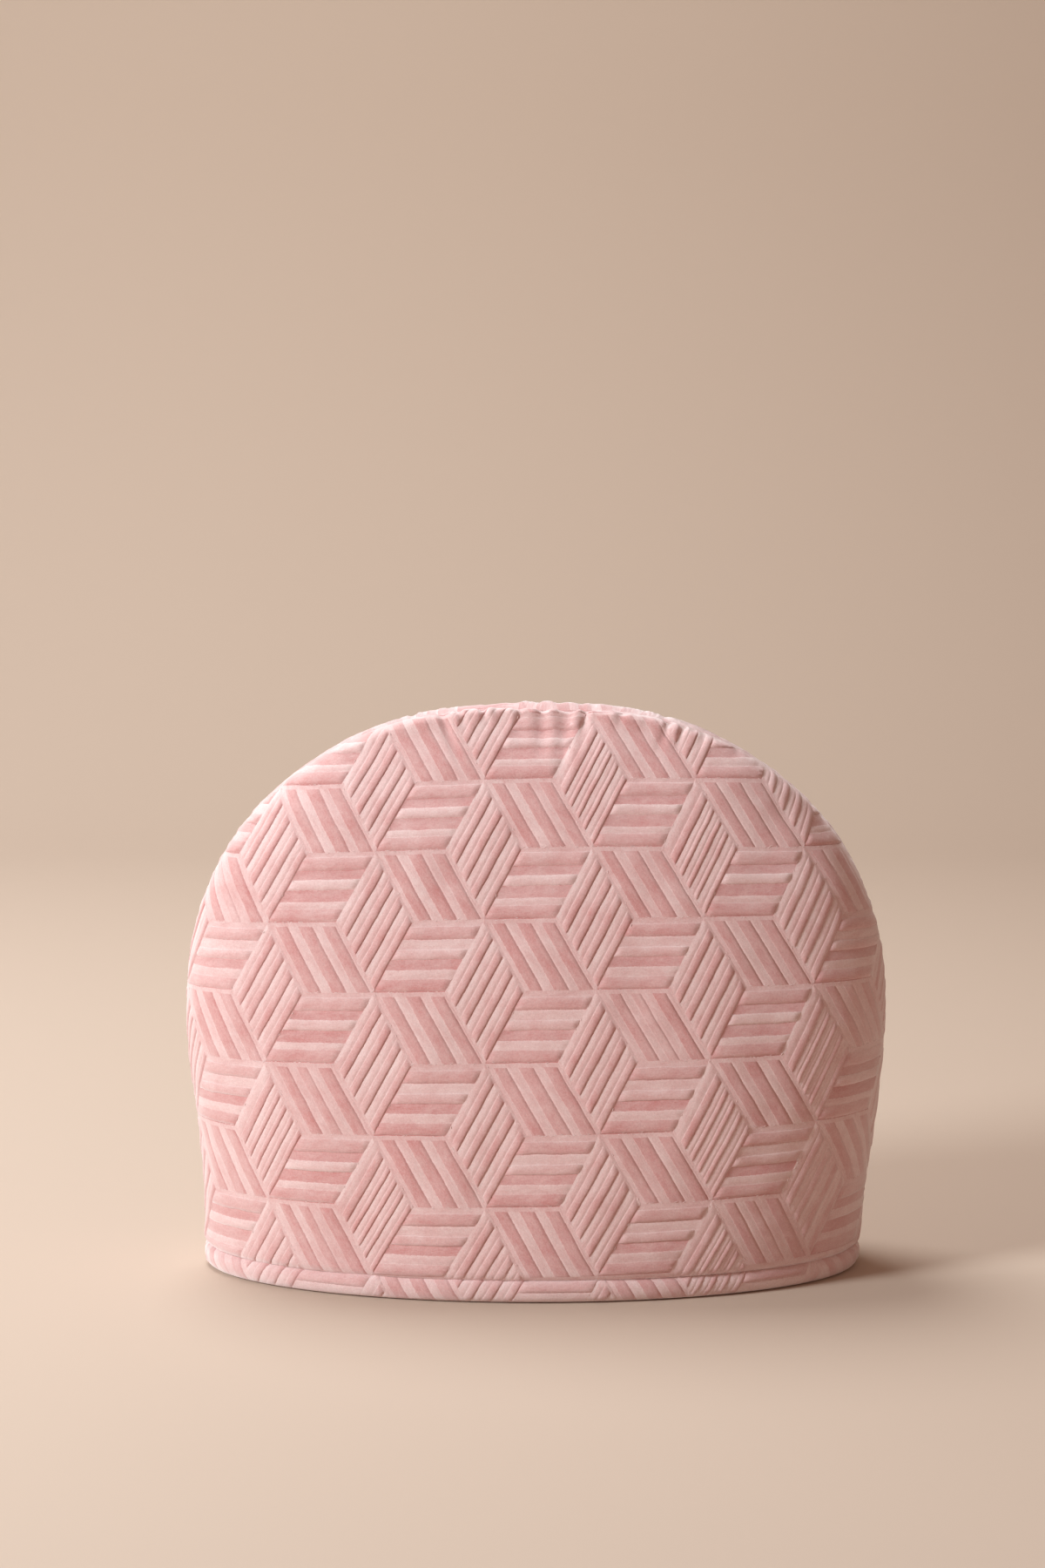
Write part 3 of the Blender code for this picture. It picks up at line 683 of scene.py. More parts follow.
def line_distance(points, line):
    """Distance of each point to an open line, and how far along the line it is nearest."""
    best = np.full(len(points), np.inf)
    along = np.zeros(len(points))
    run = 0.0
    for start, end in zip(line[:-1], line[1:]):
        side = end - start
        share = np.clip((points - start) @ side / (side @ side), 0.0, 1.0)
        far = np.linalg.norm(points - start - share[:, None] * side, axis=1)
        length = float(np.linalg.norm(side))
        along = np.where(far < best, run + share * length, along)
        best = np.minimum(best, far)
        run += length
    return best, along


def inside_ring(points, ring):
    """Which points lie inside a closed ring of corners."""
    result = np.zeros(len(points), dtype=bool)
    x, y = points.T
    for (x0, y0), (x1, y1) in zip(ring, np.roll(ring, -1, axis=0)):
        if y0 != y1:
            spans = (y0 > y) != (y1 > y)
            result ^= spans & (x < x0 + (y - y0) * (x1 - x0) / (y1 - y0))
    return result


def trimmed(lines, within):
    """Straight lines cut back to where within(points) is true."""
    kept = within(lines)
    whole = lines[kept.all(axis=1)]
    cut = lines[kept[:, 0] ^ kept[:, 1]]
    flip = ~within(cut[:, 0])
    cut[flip] = cut[flip, ::-1]
    near, far = np.zeros(len(cut)), np.ones(len(cut))
    for _ in range(TRIM_ROUNDS):
        middle = (near + far) / 2
        good = within(cut[:, 0] + middle[:, None] * (cut[:, 1] - cut[:, 0]))
        near, far = np.where(good, middle, near), np.where(good, far, middle)
    end = cut[:, 0] + near[:, None] * (cut[:, 1] - cut[:, 0])
    return np.concatenate((whole, np.stack((cut[:, 0], end), axis=1)))


def cut_cloth(ring, lines, loops):
    """Triangles of the flat cloth inside ring, with mesh lines and closed loops; ring first."""
    rings = [ring, *loops]
    edges = []
    first = 0
    for loop in rings:
        count = len(loop)
        edges.extend((first + index, first + (index + 1) % count) for index in range(count))
        first += count
    ends, index = np.unique(
        np.round(lines.reshape(-1, 2) / MERGE).astype(np.int64), axis=0, return_inverse=True)
    pairs = np.unique(np.sort(index.reshape(-1, 2), axis=1), axis=0)
    pairs = pairs[pairs[:, 0] != pairs[:, 1]] + first
    points = np.concatenate((*rings, ends * MERGE))
    edges.extend(map(tuple, pairs.tolist()))
    flat, _, faces, _, _, _ = delaunay_2d_cdt(
        [Vector(point) for point in points.tolist()], edges, [], 0, MERGE / 2, False)
    flat = np.array([tuple(point) for point in flat])
    faces = np.array([tuple(face) for face in faces])
    # Where the ring runs straight, its corners can make triangles with no area
    a, b, c = (flat[faces[:, corner]] for corner in range(3))
    doubled = np.abs((b[:, 0] - a[:, 0]) * (c[:, 1] - a[:, 1])
                     - (b[:, 1] - a[:, 1]) * (c[:, 0] - a[:, 0]))
    flattened = (faces < len(ring)).all(axis=1) & (doubled < MERGE * MERGE)
    return flat, faces[inside_ring((a + b + c) / 3, ring) & ~flattened]


def specks(points):
    """Lines so short that they only give the mesh a point at each place."""
    return np.stack((points, points + (SPECK, 0.0)), axis=1)


def surface_normals(places, faces):
    """Unit normals at the points of a smooth surface."""
    a, b, c = (places[faces[:, corner]] for corner in range(3))
    out = np.cross(b - a, c - a)
    normals = np.zeros_like(places)
    for corner in range(3):
        np.add.at(normals, faces[:, corner], out)
    return unit(normals)


def gathered(skin, u, v, gathers):
    """How far the gathers pull the cloth in."""
    index = np.argsort(skin.reaches)
    top = np.interp(np.abs(u), skin.reaches[index], skin.climbs[index])
    crown = np.where(v > skin.length / 2, np.maximum(top, v), skin.length * 2)
    below = crown - v
    depth = np.zeros_like(u)
    for gather in gathers:
        across = np.abs(u - gather.place + gather.slant * below) / gather.half_width
        down = 1.0 - below / gather.length
        depth += gather.depth * ease(1.0 - across) * ease(down)
    return depth


def cut_panel(skin, pattern, ring):
    """A panel's cloth, cut along its strips: points in pattern coordinates, and triangles."""
    rings = [np.stack(pattern.to_pattern(*loop.T), axis=1)
             for loop in (ring, *(moved_in(ring, inset) for inset in CONTOURS))]

    def on_panel(points):
        return skin.within(np.stack(pattern.to_cloth(points[..., 0], points[..., 1]), axis=-1))

    lines = trimmed(pattern.lines(rings[0].min(axis=0), rings[0].max(axis=0)), on_panel)
    return cut_cloth(rings[0], lines, rings[1:])


def panel_face(plan, skin, pattern, ring):
    """The dressed outer face of a panel and what its material reads."""
    pq, faces = cut_panel(skin, pattern, ring)
    p, q = pq.T
    u, v = pattern.to_cloth(p, q)
    moved = np.stack((u, v), axis=1)
    from_seam, along_seam = line_distance(moved, arch_line(skin))
    calm = ease(np.minimum(from_seam, np.maximum(v, 0.0)) / CALM_REACH)
    for number, (size, length) in enumerate(WOBBLE, plan.seed):
        moved[:, 0] += calm * size * waves(u, v, length, number + ACROSS_CHANCE)
        moved[:, 1] += calm * size * waves(u, v, length, number + UP_CHANCE)
    within_level = pattern.level_share(p, q) * calm
    for number, (size, length) in enumerate(LEVEL_WOBBLE, plan.seed):
        moved[:, 1] += within_level * size * waves(u, v, length, number + LEVEL_CHANCE)
    places = skin.place(*moved.T)
    out = surface_normals(places, faces)

    # The pile, the uneven padding, the tucks and gathers, and the puffed edges
    rise = RELIEF * pattern.relief(p, q) * ease(from_seam / ARCH_FADE) * ease(v / FOOT_FADE)
    for number, (size, length) in enumerate(UNEVEN, plan.seed):
        rise += size * calm * waves(u, v, length, number + PADDING_CHANCE)
    at_crown = np.exp(-((u - CROWN_DIP_PLACE) / CROWN_DIP_REACH) ** 2)
    near = ease(1.0 - from_seam / (TUCK_REACH * (1.0 + at_crown)))
    near = near * ease(from_seam / TUCK_START)
    tucks = waves(along_seam, from_seam / TUCK_STRETCH, TUCK_LENGTH, plan.seed + TUCK_CHANCE)
    rise += plan.tucks * (1.0 + at_crown) * near * tucks - gathered(skin, u, v, plan.gathers)
    rise += LIP_RISE * np.exp(-((from_seam - LIP_PLACE) / LIP_REACH) ** 2)
    centre = places * (1.0, 0.0, 1.0)
    centre[:, 2] = np.maximum(centre[:, 2] - WIDEST_LEVEL, 0.0)
    upward = unit(centre)[:, 2]
    on_crown = ease((upward - CROWN_STEEP) / CROWN_TURN) * ease(from_seam / CROWN_LIP_START)
    rise += plan.lip * on_crown * np.exp(-((from_seam - CROWN_LIP_PLACE) / CROWN_LIP_REACH) ** 2)

    # The seam is drawn in towards the middle, and the foot is drawn in above the hem
    at_seam = np.clip(1.0 - from_seam / SEAM_REACH, 0.0, 1.0) ** 2
    dip_share = np.clip(1.0 - from_seam / DIP_REACH, 0.0, 1.0) ** 2
    dip = SEAM_DIP * at_crown + plan.drop * upward
    at_hem = np.clip(1.0 - v / HEM_REACH, 0.0, 1.0) ** 2
    sink = SEAM_SINK * at_seam
    places = places + out * rise[:, None] - unit(centre) * (sink + dip * dip_share)[:, None]
    places -= unit(out * (1.0, 1.0, 0.0)) * np.maximum(HEM_SINK * at_hem - sink, 0.0)[:, None]

    corner = pq[faces]
    tone, along, across = pattern.shades(*corner.mean(axis=1).T, corner[..., 0], corner[..., 1])
    return faces, places, tone, np.stack((along, across), axis=-1)


def inner_face(skin, inside, ring):
    """The plain inner side: its points laid flat, ring first, its triangles and its places."""
    share = (skin.height(ring[:, 1]) - PANEL_BASE) / (skin.crown - PANEL_BASE)
    climb = inside.climb(PANEL_BASE + share * (inside.crown - PANEL_BASE))
    spread = ring[:, 0] / np.maximum(skin.reach(ring[:, 1]), MERGE)
    inner_ring = np.stack((spread * inside.reach(climb), climb), axis=1)
    columns = math.ceil(inside.reaches.max() / INNER_STEP)
    grid = np.array([(column * INNER_STEP, v) for column in range(-columns, columns + 1)
                     for v in np.arange(INNER_STEP / 2, inside.length, INNER_STEP)])
    grid = grid[inside_ring(grid, moved_in(outline(inside), INNER_STEP / 3))]
    flat, faces = cut_cloth(inner_ring, specks(grid), [])
    return flat, faces, inside.place(*flat.T)


def stood_up(places, facing):
    """Places on a skin, set off the seam plane, turned to their side and moved over the hem."""
    places = places - (0.0, ARCH_GAP / 2, 0.0)
    places[:, :2] *= facing
    places[:, 0] += sideways(places[:, 2])
    return places


def panel(plan):
    """A padded panel: its patterned face, a plain inner face and the edges between them."""
    skin = Skin(HALF_WIDTH, LOW_HALF_WIDTH, HALF_DEPTH, plan.crown)
    inside = Skin(HALF_WIDTH - WALL, LOW_HALF_WIDTH - WALL, HALF_DEPTH - WALL,
                  plan.crown - CROWN_WALL)
    pattern = Pattern(plan.phase, skin.length)
    ring = outline(skin)
    faces, outer, tone, nap = panel_face(plan, skin, pattern, ring)
    inner_flat, inner_faces, inner = inner_face(skin, inside, ring)
    count = len(ring)
    on_foot = ring[:, 1] < MERGE
    on_arch = ~on_foot | (np.abs(ring[:, 0]) > ring[0, 0] - MERGE)
    outer[:, 1] = np.minimum(outer[:, 1], 0.0)
    outer[:count][on_arch, 1] = 0.0
    outer[:count][on_foot, 2] = PANEL_BASE
    inner[:count][on_arch, 1] = 0.0

    first = len(outer)
    rim = np.arange(count)
    beside = np.roll(rim, -1)
    rims = np.concatenate((np.stack((beside, rim, first + rim), axis=1),
                           np.stack((beside, first + rim, first + beside), axis=1)))
    inner_faces = inner_faces[:, ::-1]
    solid = np.concatenate((faces, inner_faces + first, rims))
    plain_tones = np.full((len(solid) - len(faces), 3), PLAIN_TONE)
    naps = np.concatenate((nap, inner_flat[inner_faces], np.zeros((len(rims), 3, 2))))
    places = stood_up(np.concatenate((outer, inner)), plan.facing)
    piece = cloth_mesh(plan.name, places, solid, np.concatenate((tone, plain_tones)), naps)
    threads = loose_threads(plan, skin, pattern, piece)
    flat_size = (2 * skin.reaches.max() * MM, skin.length * MM)
    return piece, threads, flat_size, polygon_area(ring)


def polygon_area(ring):
    """Area of a closed ring, in square metres."""
    x, y = ring.T
    return abs(float((x * np.roll(y, -1) - y * np.roll(x, -1)).sum())) / 2 * MM * MM


def thread_places(low, high, seed):
    """Pattern points on the block faces' borders where a thread end shows, and the borders' run."""
    random = np.random.default_rng(seed)
    places, runs = [], []
    for _, _, node in nodes(low, high):
        for border in BORDERS:
            length = float(np.linalg.norm(border.run))
            count = int(length / border.spacing)
            shares = (np.arange(count) + random.uniform(0.1, 0.9, count)) / count
            shown = random.random(count) < border.share
            side = np.array((-border.run[1], border.run[0])) / length
            off = random.uniform(-THREAD_SPREAD, THREAD_SPREAD, count)
            points = node + shares[:, None] * border.run + off[:, None] * side
            places.append(points[shown])
            runs.append(np.broadcast_to(border.run / length, (count, 2))[shown])
    return np.concatenate(places), np.concatenate(runs)


def loose_threads(plan, skin, pattern, piece):
    """The places of a panel's loose thread ends, each with its border's run and the way out."""
    corners = np.stack(pattern.to_pattern(*outline(skin).T), axis=1)
    points, runs = thread_places(
        corners.min(axis=0), corners.max(axis=0), plan.seed + THREAD_CHANCE)
    near = np.stack(pattern.to_cloth(*points.T), axis=1)
    ahead = np.stack(pattern.to_cloth(*(points + THREAD_AHEAD * runs).T), axis=1)
    from_seam, _ = line_distance(near, arch_line(skin))
    kept = skin.within(near) & skin.within(ahead)
    kept &= (from_seam > THREAD_MARGIN) & (near[:, 1] > THREAD_MARGIN)
    near, ahead = (stood_up(skin.place(*spots[kept].T), plan.facing) for spots in (near, ahead))
    surface = BVHTree.FromPolygons(
        [vertex.co for vertex in piece.data.vertices],
        [tuple(polygon.vertices) for polygon in piece.data.polygons])
    found = [surface.find_nearest(Vector(spot)) for spot in (near * MM).tolist()]
    mesh = bpy.data.meshes.new(piece.name + "_thread_places")
    mesh.from_pydata([hit[0] for hit in found], [], [])
    for label, rows in (("run", unit(ahead - near)), ("out", np.array([hit[1] for hit in found]))):
        layer = mesh.attributes.new(label, "FLOAT_VECTOR", "POINT")
        layer.data.foreach_set("vector", rows.astype(np.float32).ravel())
    return linked(piece.name + "_threads", mesh)


class Tree:
    """Short calls for building a node tree."""

    def __init__(self, tree):
        self.tree = tree
        tree.nodes.clear()

    def node(self, kind, inputs=(), **settings):
        """A new node with the given settings, its inputs linked to sockets or set to values."""
        node = self.tree.nodes.new(kind)
        for name, value in settings.items():
            setattr(node, name, value)
        for name, value in dict(inputs).items():
            if isinstance(value, bpy.types.NodeSocket):
                self.tree.links.new(value, node.inputs[name])
            else:
                node.inputs[name].default_value = value
        return node

    def maths(self, operation, *values):
        """The result of one sum on sockets or numbers."""
        return self.node("ShaderNodeMath", enumerate(values), operation=operation).outputs[0]

    def blend(self, share, first, second, kind="MIX"):
        """A blend of two colours."""
        mix = self.node("ShaderNodeMix", {0: share, 6: first, 7: second},
                        data_type="RGBA", blend_type=kind, clamp_factor=False)
        return mix.outputs[2]


def thread_tree(material):
    """Geometry nodes: one bent thread end on each point, turned along its border."""
    group = bpy.data.node_groups.new("thread ends", "GeometryNodeTree")
    for label, way, kind in (
            ("Geometry", "INPUT", "NodeSocketGeometry"), ("Length", "INPUT", "NodeSocketFloat"),
            ("Lift", "INPUT", "NodeSocketFloat"), ("Thickness", "INPUT", "NodeSocketFloat"),
            ("Stray", "INPUT", "NodeSocketFloat"), ("Seed", "INPUT", "NodeSocketInt"),
            ("Geometry", "OUTPUT", "NodeSocketGeometry")):
        group.interface.new_socket(name=label, in_out=way, socket_type=kind)
    tree = Tree(group)
    given = tree.node("NodeGroupInput").outputs

    def vector(axis, value):
        return tree.node("ShaderNodeCombineXYZ", {axis: value}).outputs[0]

    def stored(label):
        return tree.node("GeometryNodeInputNamedAttribute", {"Name": label},
                         data_type="FLOAT_VECTOR").outputs[0]

    def drawn(low, high, seed):
        return tree.node("FunctionNodeRandomValue", {2: low, 3: high, "Seed": seed},
                         data_type="FLOAT").outputs[1]

    half = tree.maths("MULTIPLY", given["Length"], 0.5)
    bend = tree.node("GeometryNodeCurveQuadraticBezier", {
        "Resolution": 3, "Start": vector("X", tree.maths("MULTIPLY", half, -1.0)),
        "Middle": vector("Z", given["Lift"]), "End": vector("X", half)}).outputs[0]
    ring = tree.node("GeometryNodeCurvePrimitiveCircle", {
        "Resolution": 4, "Radius": given["Thickness"]}, mode="RADIUS").outputs[0]
    end = tree.node("GeometryNodeCurveToMesh", {
        "Curve": bend, "Profile Curve": ring, "Fill Caps": True}).outputs[0]

    turn = tree.node("FunctionNodeAlignRotationToVector", {"Vector": stored("out")}, axis="Z")
    turn = tree.node("FunctionNodeAlignRotationToVector", {
        "Rotation": turn.outputs[0], "Vector": stored("run")}, axis="X", pivot_axis="Z")
    stray = drawn(tree.maths("MULTIPLY", given["Stray"], -1.0), given["Stray"], given["Seed"])
    spin = tree.node("FunctionNodeEulerToRotation", {"Euler": vector("Z", stray)}).outputs[0]
    turn = tree.node("FunctionNodeRotateRotation", {
        "Rotation": turn.outputs[0], "Rotate By": spin}, rotation_space="LOCAL")
    size = drawn(*THREAD_SCALES, tree.maths("ADD", given["Seed"], 1.0))
    placed = tree.node("GeometryNodeInstanceOnPoints", {
        "Points": given["Geometry"], "Instance": end, "Rotation": turn.outputs[0],
        "Scale": size}).outputs[0]
    real = tree.node("GeometryNodeRealizeInstances", {"Geometry": placed}).outputs[0]
    dressed = tree.node("GeometryNodeSetMaterial", {"Geometry": real, "Material": material})
    tree.node("NodeGroupOutput", {"Geometry": dressed.outputs[0]})
    return group


def grow(spots, group, sizes):
    """Give a piece the mesh that the node tree makes on it, and take the modifier off."""
    modifier = spots.modifiers.new("threads", "NODES")
    modifier.node_group = group
    for item in group.interface.items_tree:
        if item.item_type == "SOCKET" and item.name in sizes:
            modifier[item.identifier] = sizes[item.name]
    view = bpy.context.evaluated_depsgraph_get()
    mesh = bpy.data.meshes.new_from_object(spots.evaluated_get(view))
    spots.modifiers.clear()
    mesh.name = spots.name
    spots.data = mesh
    mesh.shade_smooth()
    print(spots.name, len(mesh.polygons), "faces")


def rounded(section, rounds):
    """A closed section with its corners cut off again and again."""
    for _ in range(rounds):
        after = np.roll(section, -1, axis=0)
        section = np.stack((0.75 * section + 0.25 * after, 0.25 * section + 0.75 * after), axis=1)
        section = section.reshape(-1, 2)
    return section


def closed_run(points):
    """A closed line's points with the first one again at the end, and the run to each."""
    points = np.concatenate((points, points[:1]))
    steps = np.linalg.norm(np.diff(points, axis=0), axis=1)
    return points, np.concatenate(([0.0], np.cumsum(steps)))


class Roll:
    """The hem's strip of cloth: s runs along it from the middle of the back, t round the roll."""

    def __init__(self):
        self.section, self.girth = closed_run(rounded(np.array(ROLL_SECTION), ROLL_ROUNDS))
        angles = np.linspace(0.0, 2 * math.pi, 4 * PROFILE_SAMPLES, endpoint=False) + math.pi / 2
        self.oval, self.run = closed_run(np.stack(
            (LOW_HALF_WIDTH * np.cos(angles), HALF_DEPTH * np.sin(angles)), axis=1))
        self.length, self.around = self.run[-1], self.girth[-1]
        self.outermost = self.girth[np.argmax(self.section[:, 0])]
        self.top = self.girth[np.argmax(self.section[:, 1])]
        self.scale = ROLL_REPEATS * 2 * PITCH / self.length

    def to_pattern(self, s, t):
        """Pattern coordinates of a point of the strip."""
        return (s - self.length / 2 - ROLL_NODE) * self.scale, t - self.outermost + ROLL_CENTRE

    def to_strip(self, p, q):
        """The point of the strip at pattern coordinates."""
        return p / self.scale + self.length / 2 + ROLL_NODE, q + self.outermost - ROLL_CENTRE

    def patterned(self, points):
        """Which points of the strip take the pattern's mesh lines."""
        s, t = points[..., 0], points[..., 1]
        along = (s > CLIP_MARGIN) & (s < self.length - CLIP_MARGIN)
        return along & (t > ROLL_START) & (t < self.top + ROLL_PAST_TOP)

    def fade(self, s, t):
        """Share of the relief that shows: none at the foot, on the inner side or at the ends."""
        share = (ease((t - ROLL_START) / ROLL_START_FADE)
                 * ease((self.top + ROLL_PAST_TOP - t) / ROLL_PAST_TOP_FADE))
        return share * (ease(s / ROLL_END_FADE) * ease((self.length - s) / ROLL_END_FADE))

    def uneven(self, s, t):
        """Unevenness of the padding."""
        size, length = ROLL_UNEVEN
        turn = 2 * math.pi * s / self.length
        calm = ease(t / ROLL_EDGE_FADE) * ease((self.around - t) / ROLL_EDGE_FADE)
        return size * calm * waves(
            np.sin(turn) * ROLL_LOOP, t + np.cos(turn) * ROLL_LOOP, length, ROLL_CHANCE)

    def stops(self):
        """Places along the strip, in even steps."""
        return np.linspace(0.0, self.length, round(self.length / OUTLINE_STEP) + 1)

    def outline(self):
        """The flat strip's whole outline."""
        along = self.stops()
        sides = np.linspace(0.0, self.around, round(self.around / ROLL_ROUND_STEP) + 1)
        edges = ((along[:-1], 0.0), (self.length, sides[:-1]),
                 (along[:0:-1], self.around), (0.0, sides[:0:-1]))
        return np.concatenate([np.stack(np.broadcast_arrays(s, t), axis=1) for s, t in edges])

    def place(self, s, t, rise):
        """Points of the roll, each lifted off its section, as rows of x, y, z."""
        x = np.interp(s, self.run, self.oval[:, 0])
        y = np.interp(s, self.run, self.oval[:, 1])
        out = unit(np.stack((x / LOW_HALF_WIDTH ** 2, y / HALF_DEPTH ** 2), axis=1))
        turn_out = np.gradient(self.section[:, 1], self.girth)
        turn_up = -np.gradient(self.section[:, 0], self.girth)
        size = np.hypot(turn_out, turn_up)
        away, up = (np.interp(t, self.girth, self.section[:, axis]) for axis in range(2))
        away = away + rise * np.interp(t, self.girth, turn_out / size)
        up = np.maximum(up + rise * np.interp(t, self.girth, turn_up / size), 0.0)
        return np.stack((x + away * out[:, 0] + HEM_SHIFT, y + away * out[:, 1], up), axis=1)


def hem_roll(name):
    """The binding: patterned cloth rolled round the open edge, with a flat foot."""
    roll = Roll()
    pattern = Pattern((0.0, 0.0), 1.0, repeat=2 * ROLL_REPEATS)
    lines = pattern.lines(roll.to_pattern(0.0, 0.0), roll.to_pattern(roll.length, roll.around))
    lines = np.stack(roll.to_strip(lines[..., 0], lines[..., 1]), axis=-1)
    lines = trimmed(lines, roll.patterned)
    plain_t = np.arange(roll.top + ROLL_PLAIN_START, roll.around - CLIP_MARGIN, ROLL_PLAIN_STEP)
    plain = np.stack(np.meshgrid(roll.stops()[1:-1], plain_t, indexing="ij"), axis=-1)
    lines = np.concatenate((lines, specks(plain.reshape(-1, 2))))
    flat, faces = cut_cloth(roll.outline(), lines, [])
    s, t = flat.T
    rise = ROLL_RELIEF * pattern.relief(*roll.to_pattern(s, t)) * roll.fade(s, t)
    places = roll.place(s, t, rise + roll.uneven(s, t))
    corner = flat[faces]
    tone, along, across = pattern.shades(
        *roll.to_pattern(*corner.mean(axis=1).T), *roll.to_pattern(corner[..., 0], corner[..., 1]))
    return cloth_mesh(name, places, faces, tone, np.stack((along, across), axis=-1))


def linked(name, data):
    """A new object of the scene with the given mesh, light or camera."""
    item = bpy.data.objects.new(name, data)
    bpy.context.scene.collection.objects.link(item)
    return item


def cloth_mesh(name, places, faces, tones, nap):
    """A closed cloth piece with its strips' tones, painted highlights and painted shade, and a map
    along and across the nap.
    """
    mesh = bpy.data.meshes.new(name)
    mesh.from_pydata((places * MM).tolist(), [], faces.tolist())
    tone = mesh.attributes.new("strip_tone_and_painted_light", "FLOAT", "CORNER")
    tone.data.foreach_set("value", tones.ravel().astype(np.float32))
    layer = mesh.uv_layers.new(name="nap")
    layer.data.foreach_set("uv", nap.reshape(-1).astype(np.float32))
    form = bmesh.new()
    form.from_mesh(mesh)
    bmesh.ops.remove_doubles(form, verts=form.verts, dist=MERGE * MM / 2)
    bmesh.ops.recalc_face_normals(form, faces=form.faces)
    open_edges = sum(1 for edge in form.edges if len(edge.link_faces) != 2)
    form.to_mesh(mesh)
    form.free()
    mesh.shade_smooth()
    mesh.set_sharp_from_angle(angle=SHARP_ANGLE)
    print(name, len(mesh.polygons), "faces, open edges:", open_edges)
    return linked(name, mesh)


def blank(name):
    """A new material and its emptied node tree."""
    material = bpy.data.materials.new(name)
    material.use_nodes = True
    return material, Tree(material.node_tree)


def velvet(name, painted_light_lift):
    """Dusty pink velvet: strips of two tones with painted highlights and shade at their edges, a
    painted paler lift where given, brushed patches, fine nap and sheen.
    """
    material, tree = blank(name)
    place = tree.node("ShaderNodeTexCoord").outputs["Object"]
    nap = tree.node("ShaderNodeUVMap", uv_map="nap").outputs["UV"]
    tone = tree.node("ShaderNodeAttribute", attribute_name="strip_tone_and_painted_light").outputs["Fac"]

    def noise(vector, scale, detail, **settings):
        return tree.node("ShaderNodeTexNoise", {
            "Vector": vector, "Scale": scale, "Detail": detail, "Roughness": 0.6},
            **settings).outputs["Fac"]

    def around_zero(value, size):
        return tree.maths("MULTIPLY", tree.maths("SUBTRACT", value, 0.5), size)

    def along_nap(along, across, detail):
        stretched = tree.node("ShaderNodeMapping", {"Vector": nap, "Scale": (along, across, 1.0)})
        return noise(stretched.outputs[0], 1.0, detail, noise_dimensions="2D")

    streaks = along_nap(along=0.35, across=2.4, detail=3.0)
    brushed = along_nap(along=0.11, across=0.3, detail=3.0)
    patches = noise(place, scale=60.0, detail=3.0)
    fine = noise(place, scale=1100.0, detail=2.0)
    grain = noise(place, scale=1900.0, detail=2.0)

    # The lift paints the velvet paler, standing in for light; the tone also carries painted
    # highlights and shade
    shade = tree.maths("ADD", tone, painted_light_lift)
    for unevenness, change in ((streaks, 0.7), (brushed, 1.0), (patches, 0.8), (fine, 0.8)):
        shade = tree.maths("ADD", shade, around_zero(unevenness, change))
    shade = tree.node("ShaderNodeClamp", {"Value": shade, "Min": -0.5, "Max": 1.5}).outputs[0]
    colour = tree.blend(shade, DEEP_PINK, PALE_PINK)
    speckle = tree.node("ShaderNodeMapRange", {
        "Value": grain, "From Min": 0.25, "From Max": 0.75, "To Min": 0.91, "To Max": 1.09})
    colour = tree.blend(1.0, colour, speckle.outputs[0], "MULTIPLY")

    pile = tree.maths("ADD", around_zero(fine, 0.45), around_zero(grain, 0.55))
    pile = tree.maths("ADD", pile, around_zero(streaks, 0.3))
    bump = tree.node("ShaderNodeBump", {"Height": pile, "Strength": 0.25, "Distance": 0.0005})
    surface = tree.node("ShaderNodeBsdfPrincipled", {
        "Base Color": colour, "Roughness": 0.92, "Sheen Weight": 0.9, "Sheen Roughness": 0.65,
        "Sheen Tint": (1.0, 1.0, 1.0, 1.0), "Specular IOR Level": 0.12,
        "Normal": bump.outputs[0]})
    tree.node("ShaderNodeOutputMaterial", {"Surface": surface.outputs[0]})
    return material


def thread(name):
    """Pale pink thread with a little variation from end to end."""
    material, tree = blank(name)
    place = tree.node("ShaderNodeTexCoord").outputs["Object"]
    tint = tree.node("ShaderNodeTexNoise", {
        "Vector": place, "Scale": 350.0, "Detail": 2.0}).outputs["Fac"]
    surface = tree.node("ShaderNodeBsdfPrincipled", {
        "Base Color": tree.blend(tint, *THREAD_PINKS), "Roughness": 0.85, "Sheen Weight": 0.6,
        "Sheen Roughness": 0.4, "Specular IOR Level": 0.15})
    tree.node("ShaderNodeOutputMaterial", {"Surface": surface.outputs[0]})
    return material


def studio_floor(name, colour):
    """A pale matt finish for the floor and backdrop."""
    material, tree = blank(name)
    surface = tree.node("ShaderNodeBsdfPrincipled", {"Base Color": colour, "Roughness": 0.9})
    tree.node("ShaderNodeOutputMaterial", {"Surface": surface.outputs[0]})
    return material


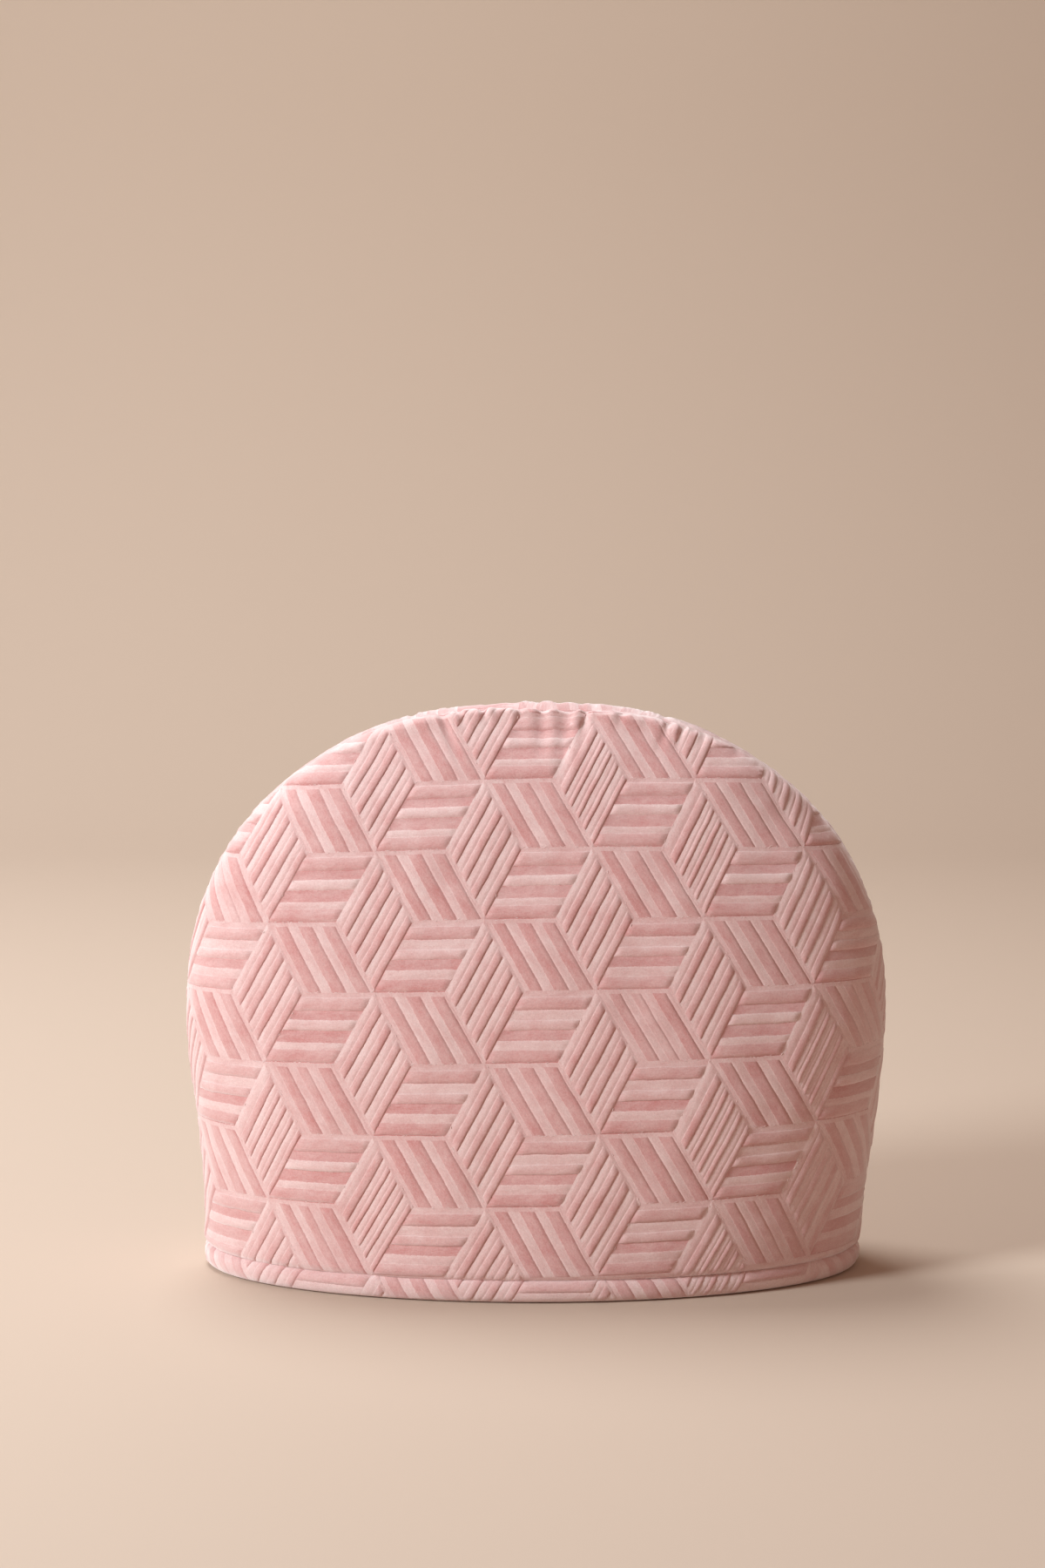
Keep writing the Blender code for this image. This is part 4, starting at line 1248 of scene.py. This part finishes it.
def studio():
    """A pale floor that sweeps up into a pale backdrop, and soft light from the upper left."""
    depth, bend, height, half_width, steps = 1.1, 0.6, 3.0, 14.0, 16
    profile = [(-half_width, 0.0), (depth, 0.0)]
    profile += [(depth + bend * math.sin(turn), bend * (1 - math.cos(turn)))
                for turn in np.linspace(0.0, math.pi / 2, steps)[1:]]
    profile.append((depth + bend, height))
    mesh = bpy.data.meshes.new("backdrop")
    points = [(x, y, z) for y, z in profile for x in (-half_width, half_width)]
    quads = [(2 * i, 2 * i + 1, 2 * i + 3, 2 * i + 2) for i in range(len(profile) - 1)]
    mesh.from_pydata(points, [], quads)
    mesh.shade_smooth()
    mesh.materials.append(studio_floor("pale studio floor", FLOOR_COLOUR))
    linked("backdrop", mesh)

    for lamp in LAMPS:
        light = bpy.data.lights.new(lamp.name, "AREA")
        light.shape = "DISK"
        light.size = lamp.size
        light.energy = lamp.power
        light.color = lamp.colour
        item = linked(lamp.name, light)
        item.location = lamp.place
        ray = Vector((0.0, 0.0, lamp.aim)) - Vector(lamp.place)
        item.rotation_euler = ray.to_track_quat("-Z", "Y").to_euler()
    world = bpy.data.worlds.new("studio")
    bpy.context.scene.world = world
    world.use_nodes = True
    background = world.node_tree.nodes["Background"]
    background.inputs["Color"].default_value = AMBIENT
    background.inputs["Strength"].default_value = AMBIENT_STRENGTH


def camera():
    """The camera at the photo's angle."""
    view = bpy.data.cameras.new("camera")
    view.lens = LENS
    view.sensor_width = 36.0
    view.clip_start = 0.05
    item = linked("camera", view)
    item.location = CAMERA_PLACE
    item.rotation_euler = (math.radians(90.0 - CAMERA_DOWN), 0.0, math.radians(CAMERA_LEFT))
    bpy.context.scene.camera = item


camera()
studio()
bpy.context.scene.view_settings.view_transform = "Standard"
front, front_threads, front_flat, front_area = panel(FRONT)
back, back_threads, back_flat, back_area = panel(BACK)
roll = hem_roll("hem_roll")
panel_velvet = velvet("panel velvet", PANEL_PAINTED_LIGHT)
for piece, node in ((front, "front_panel"), (back, "back_panel")):
    piece.data.materials.append(panel_velvet)
    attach(piece, "root")
    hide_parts(node)
roll.data.materials.append(velvet("binding velvet painted paler", BINDING_PAINTED_LIGHT))
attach(roll, "root")
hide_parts("hem_binding")
threads = thread_tree(thread("panel thread"))
for spots in (front_threads, back_threads):
    grow(spots, threads, THREAD_SIZES)
    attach(spots, "root")
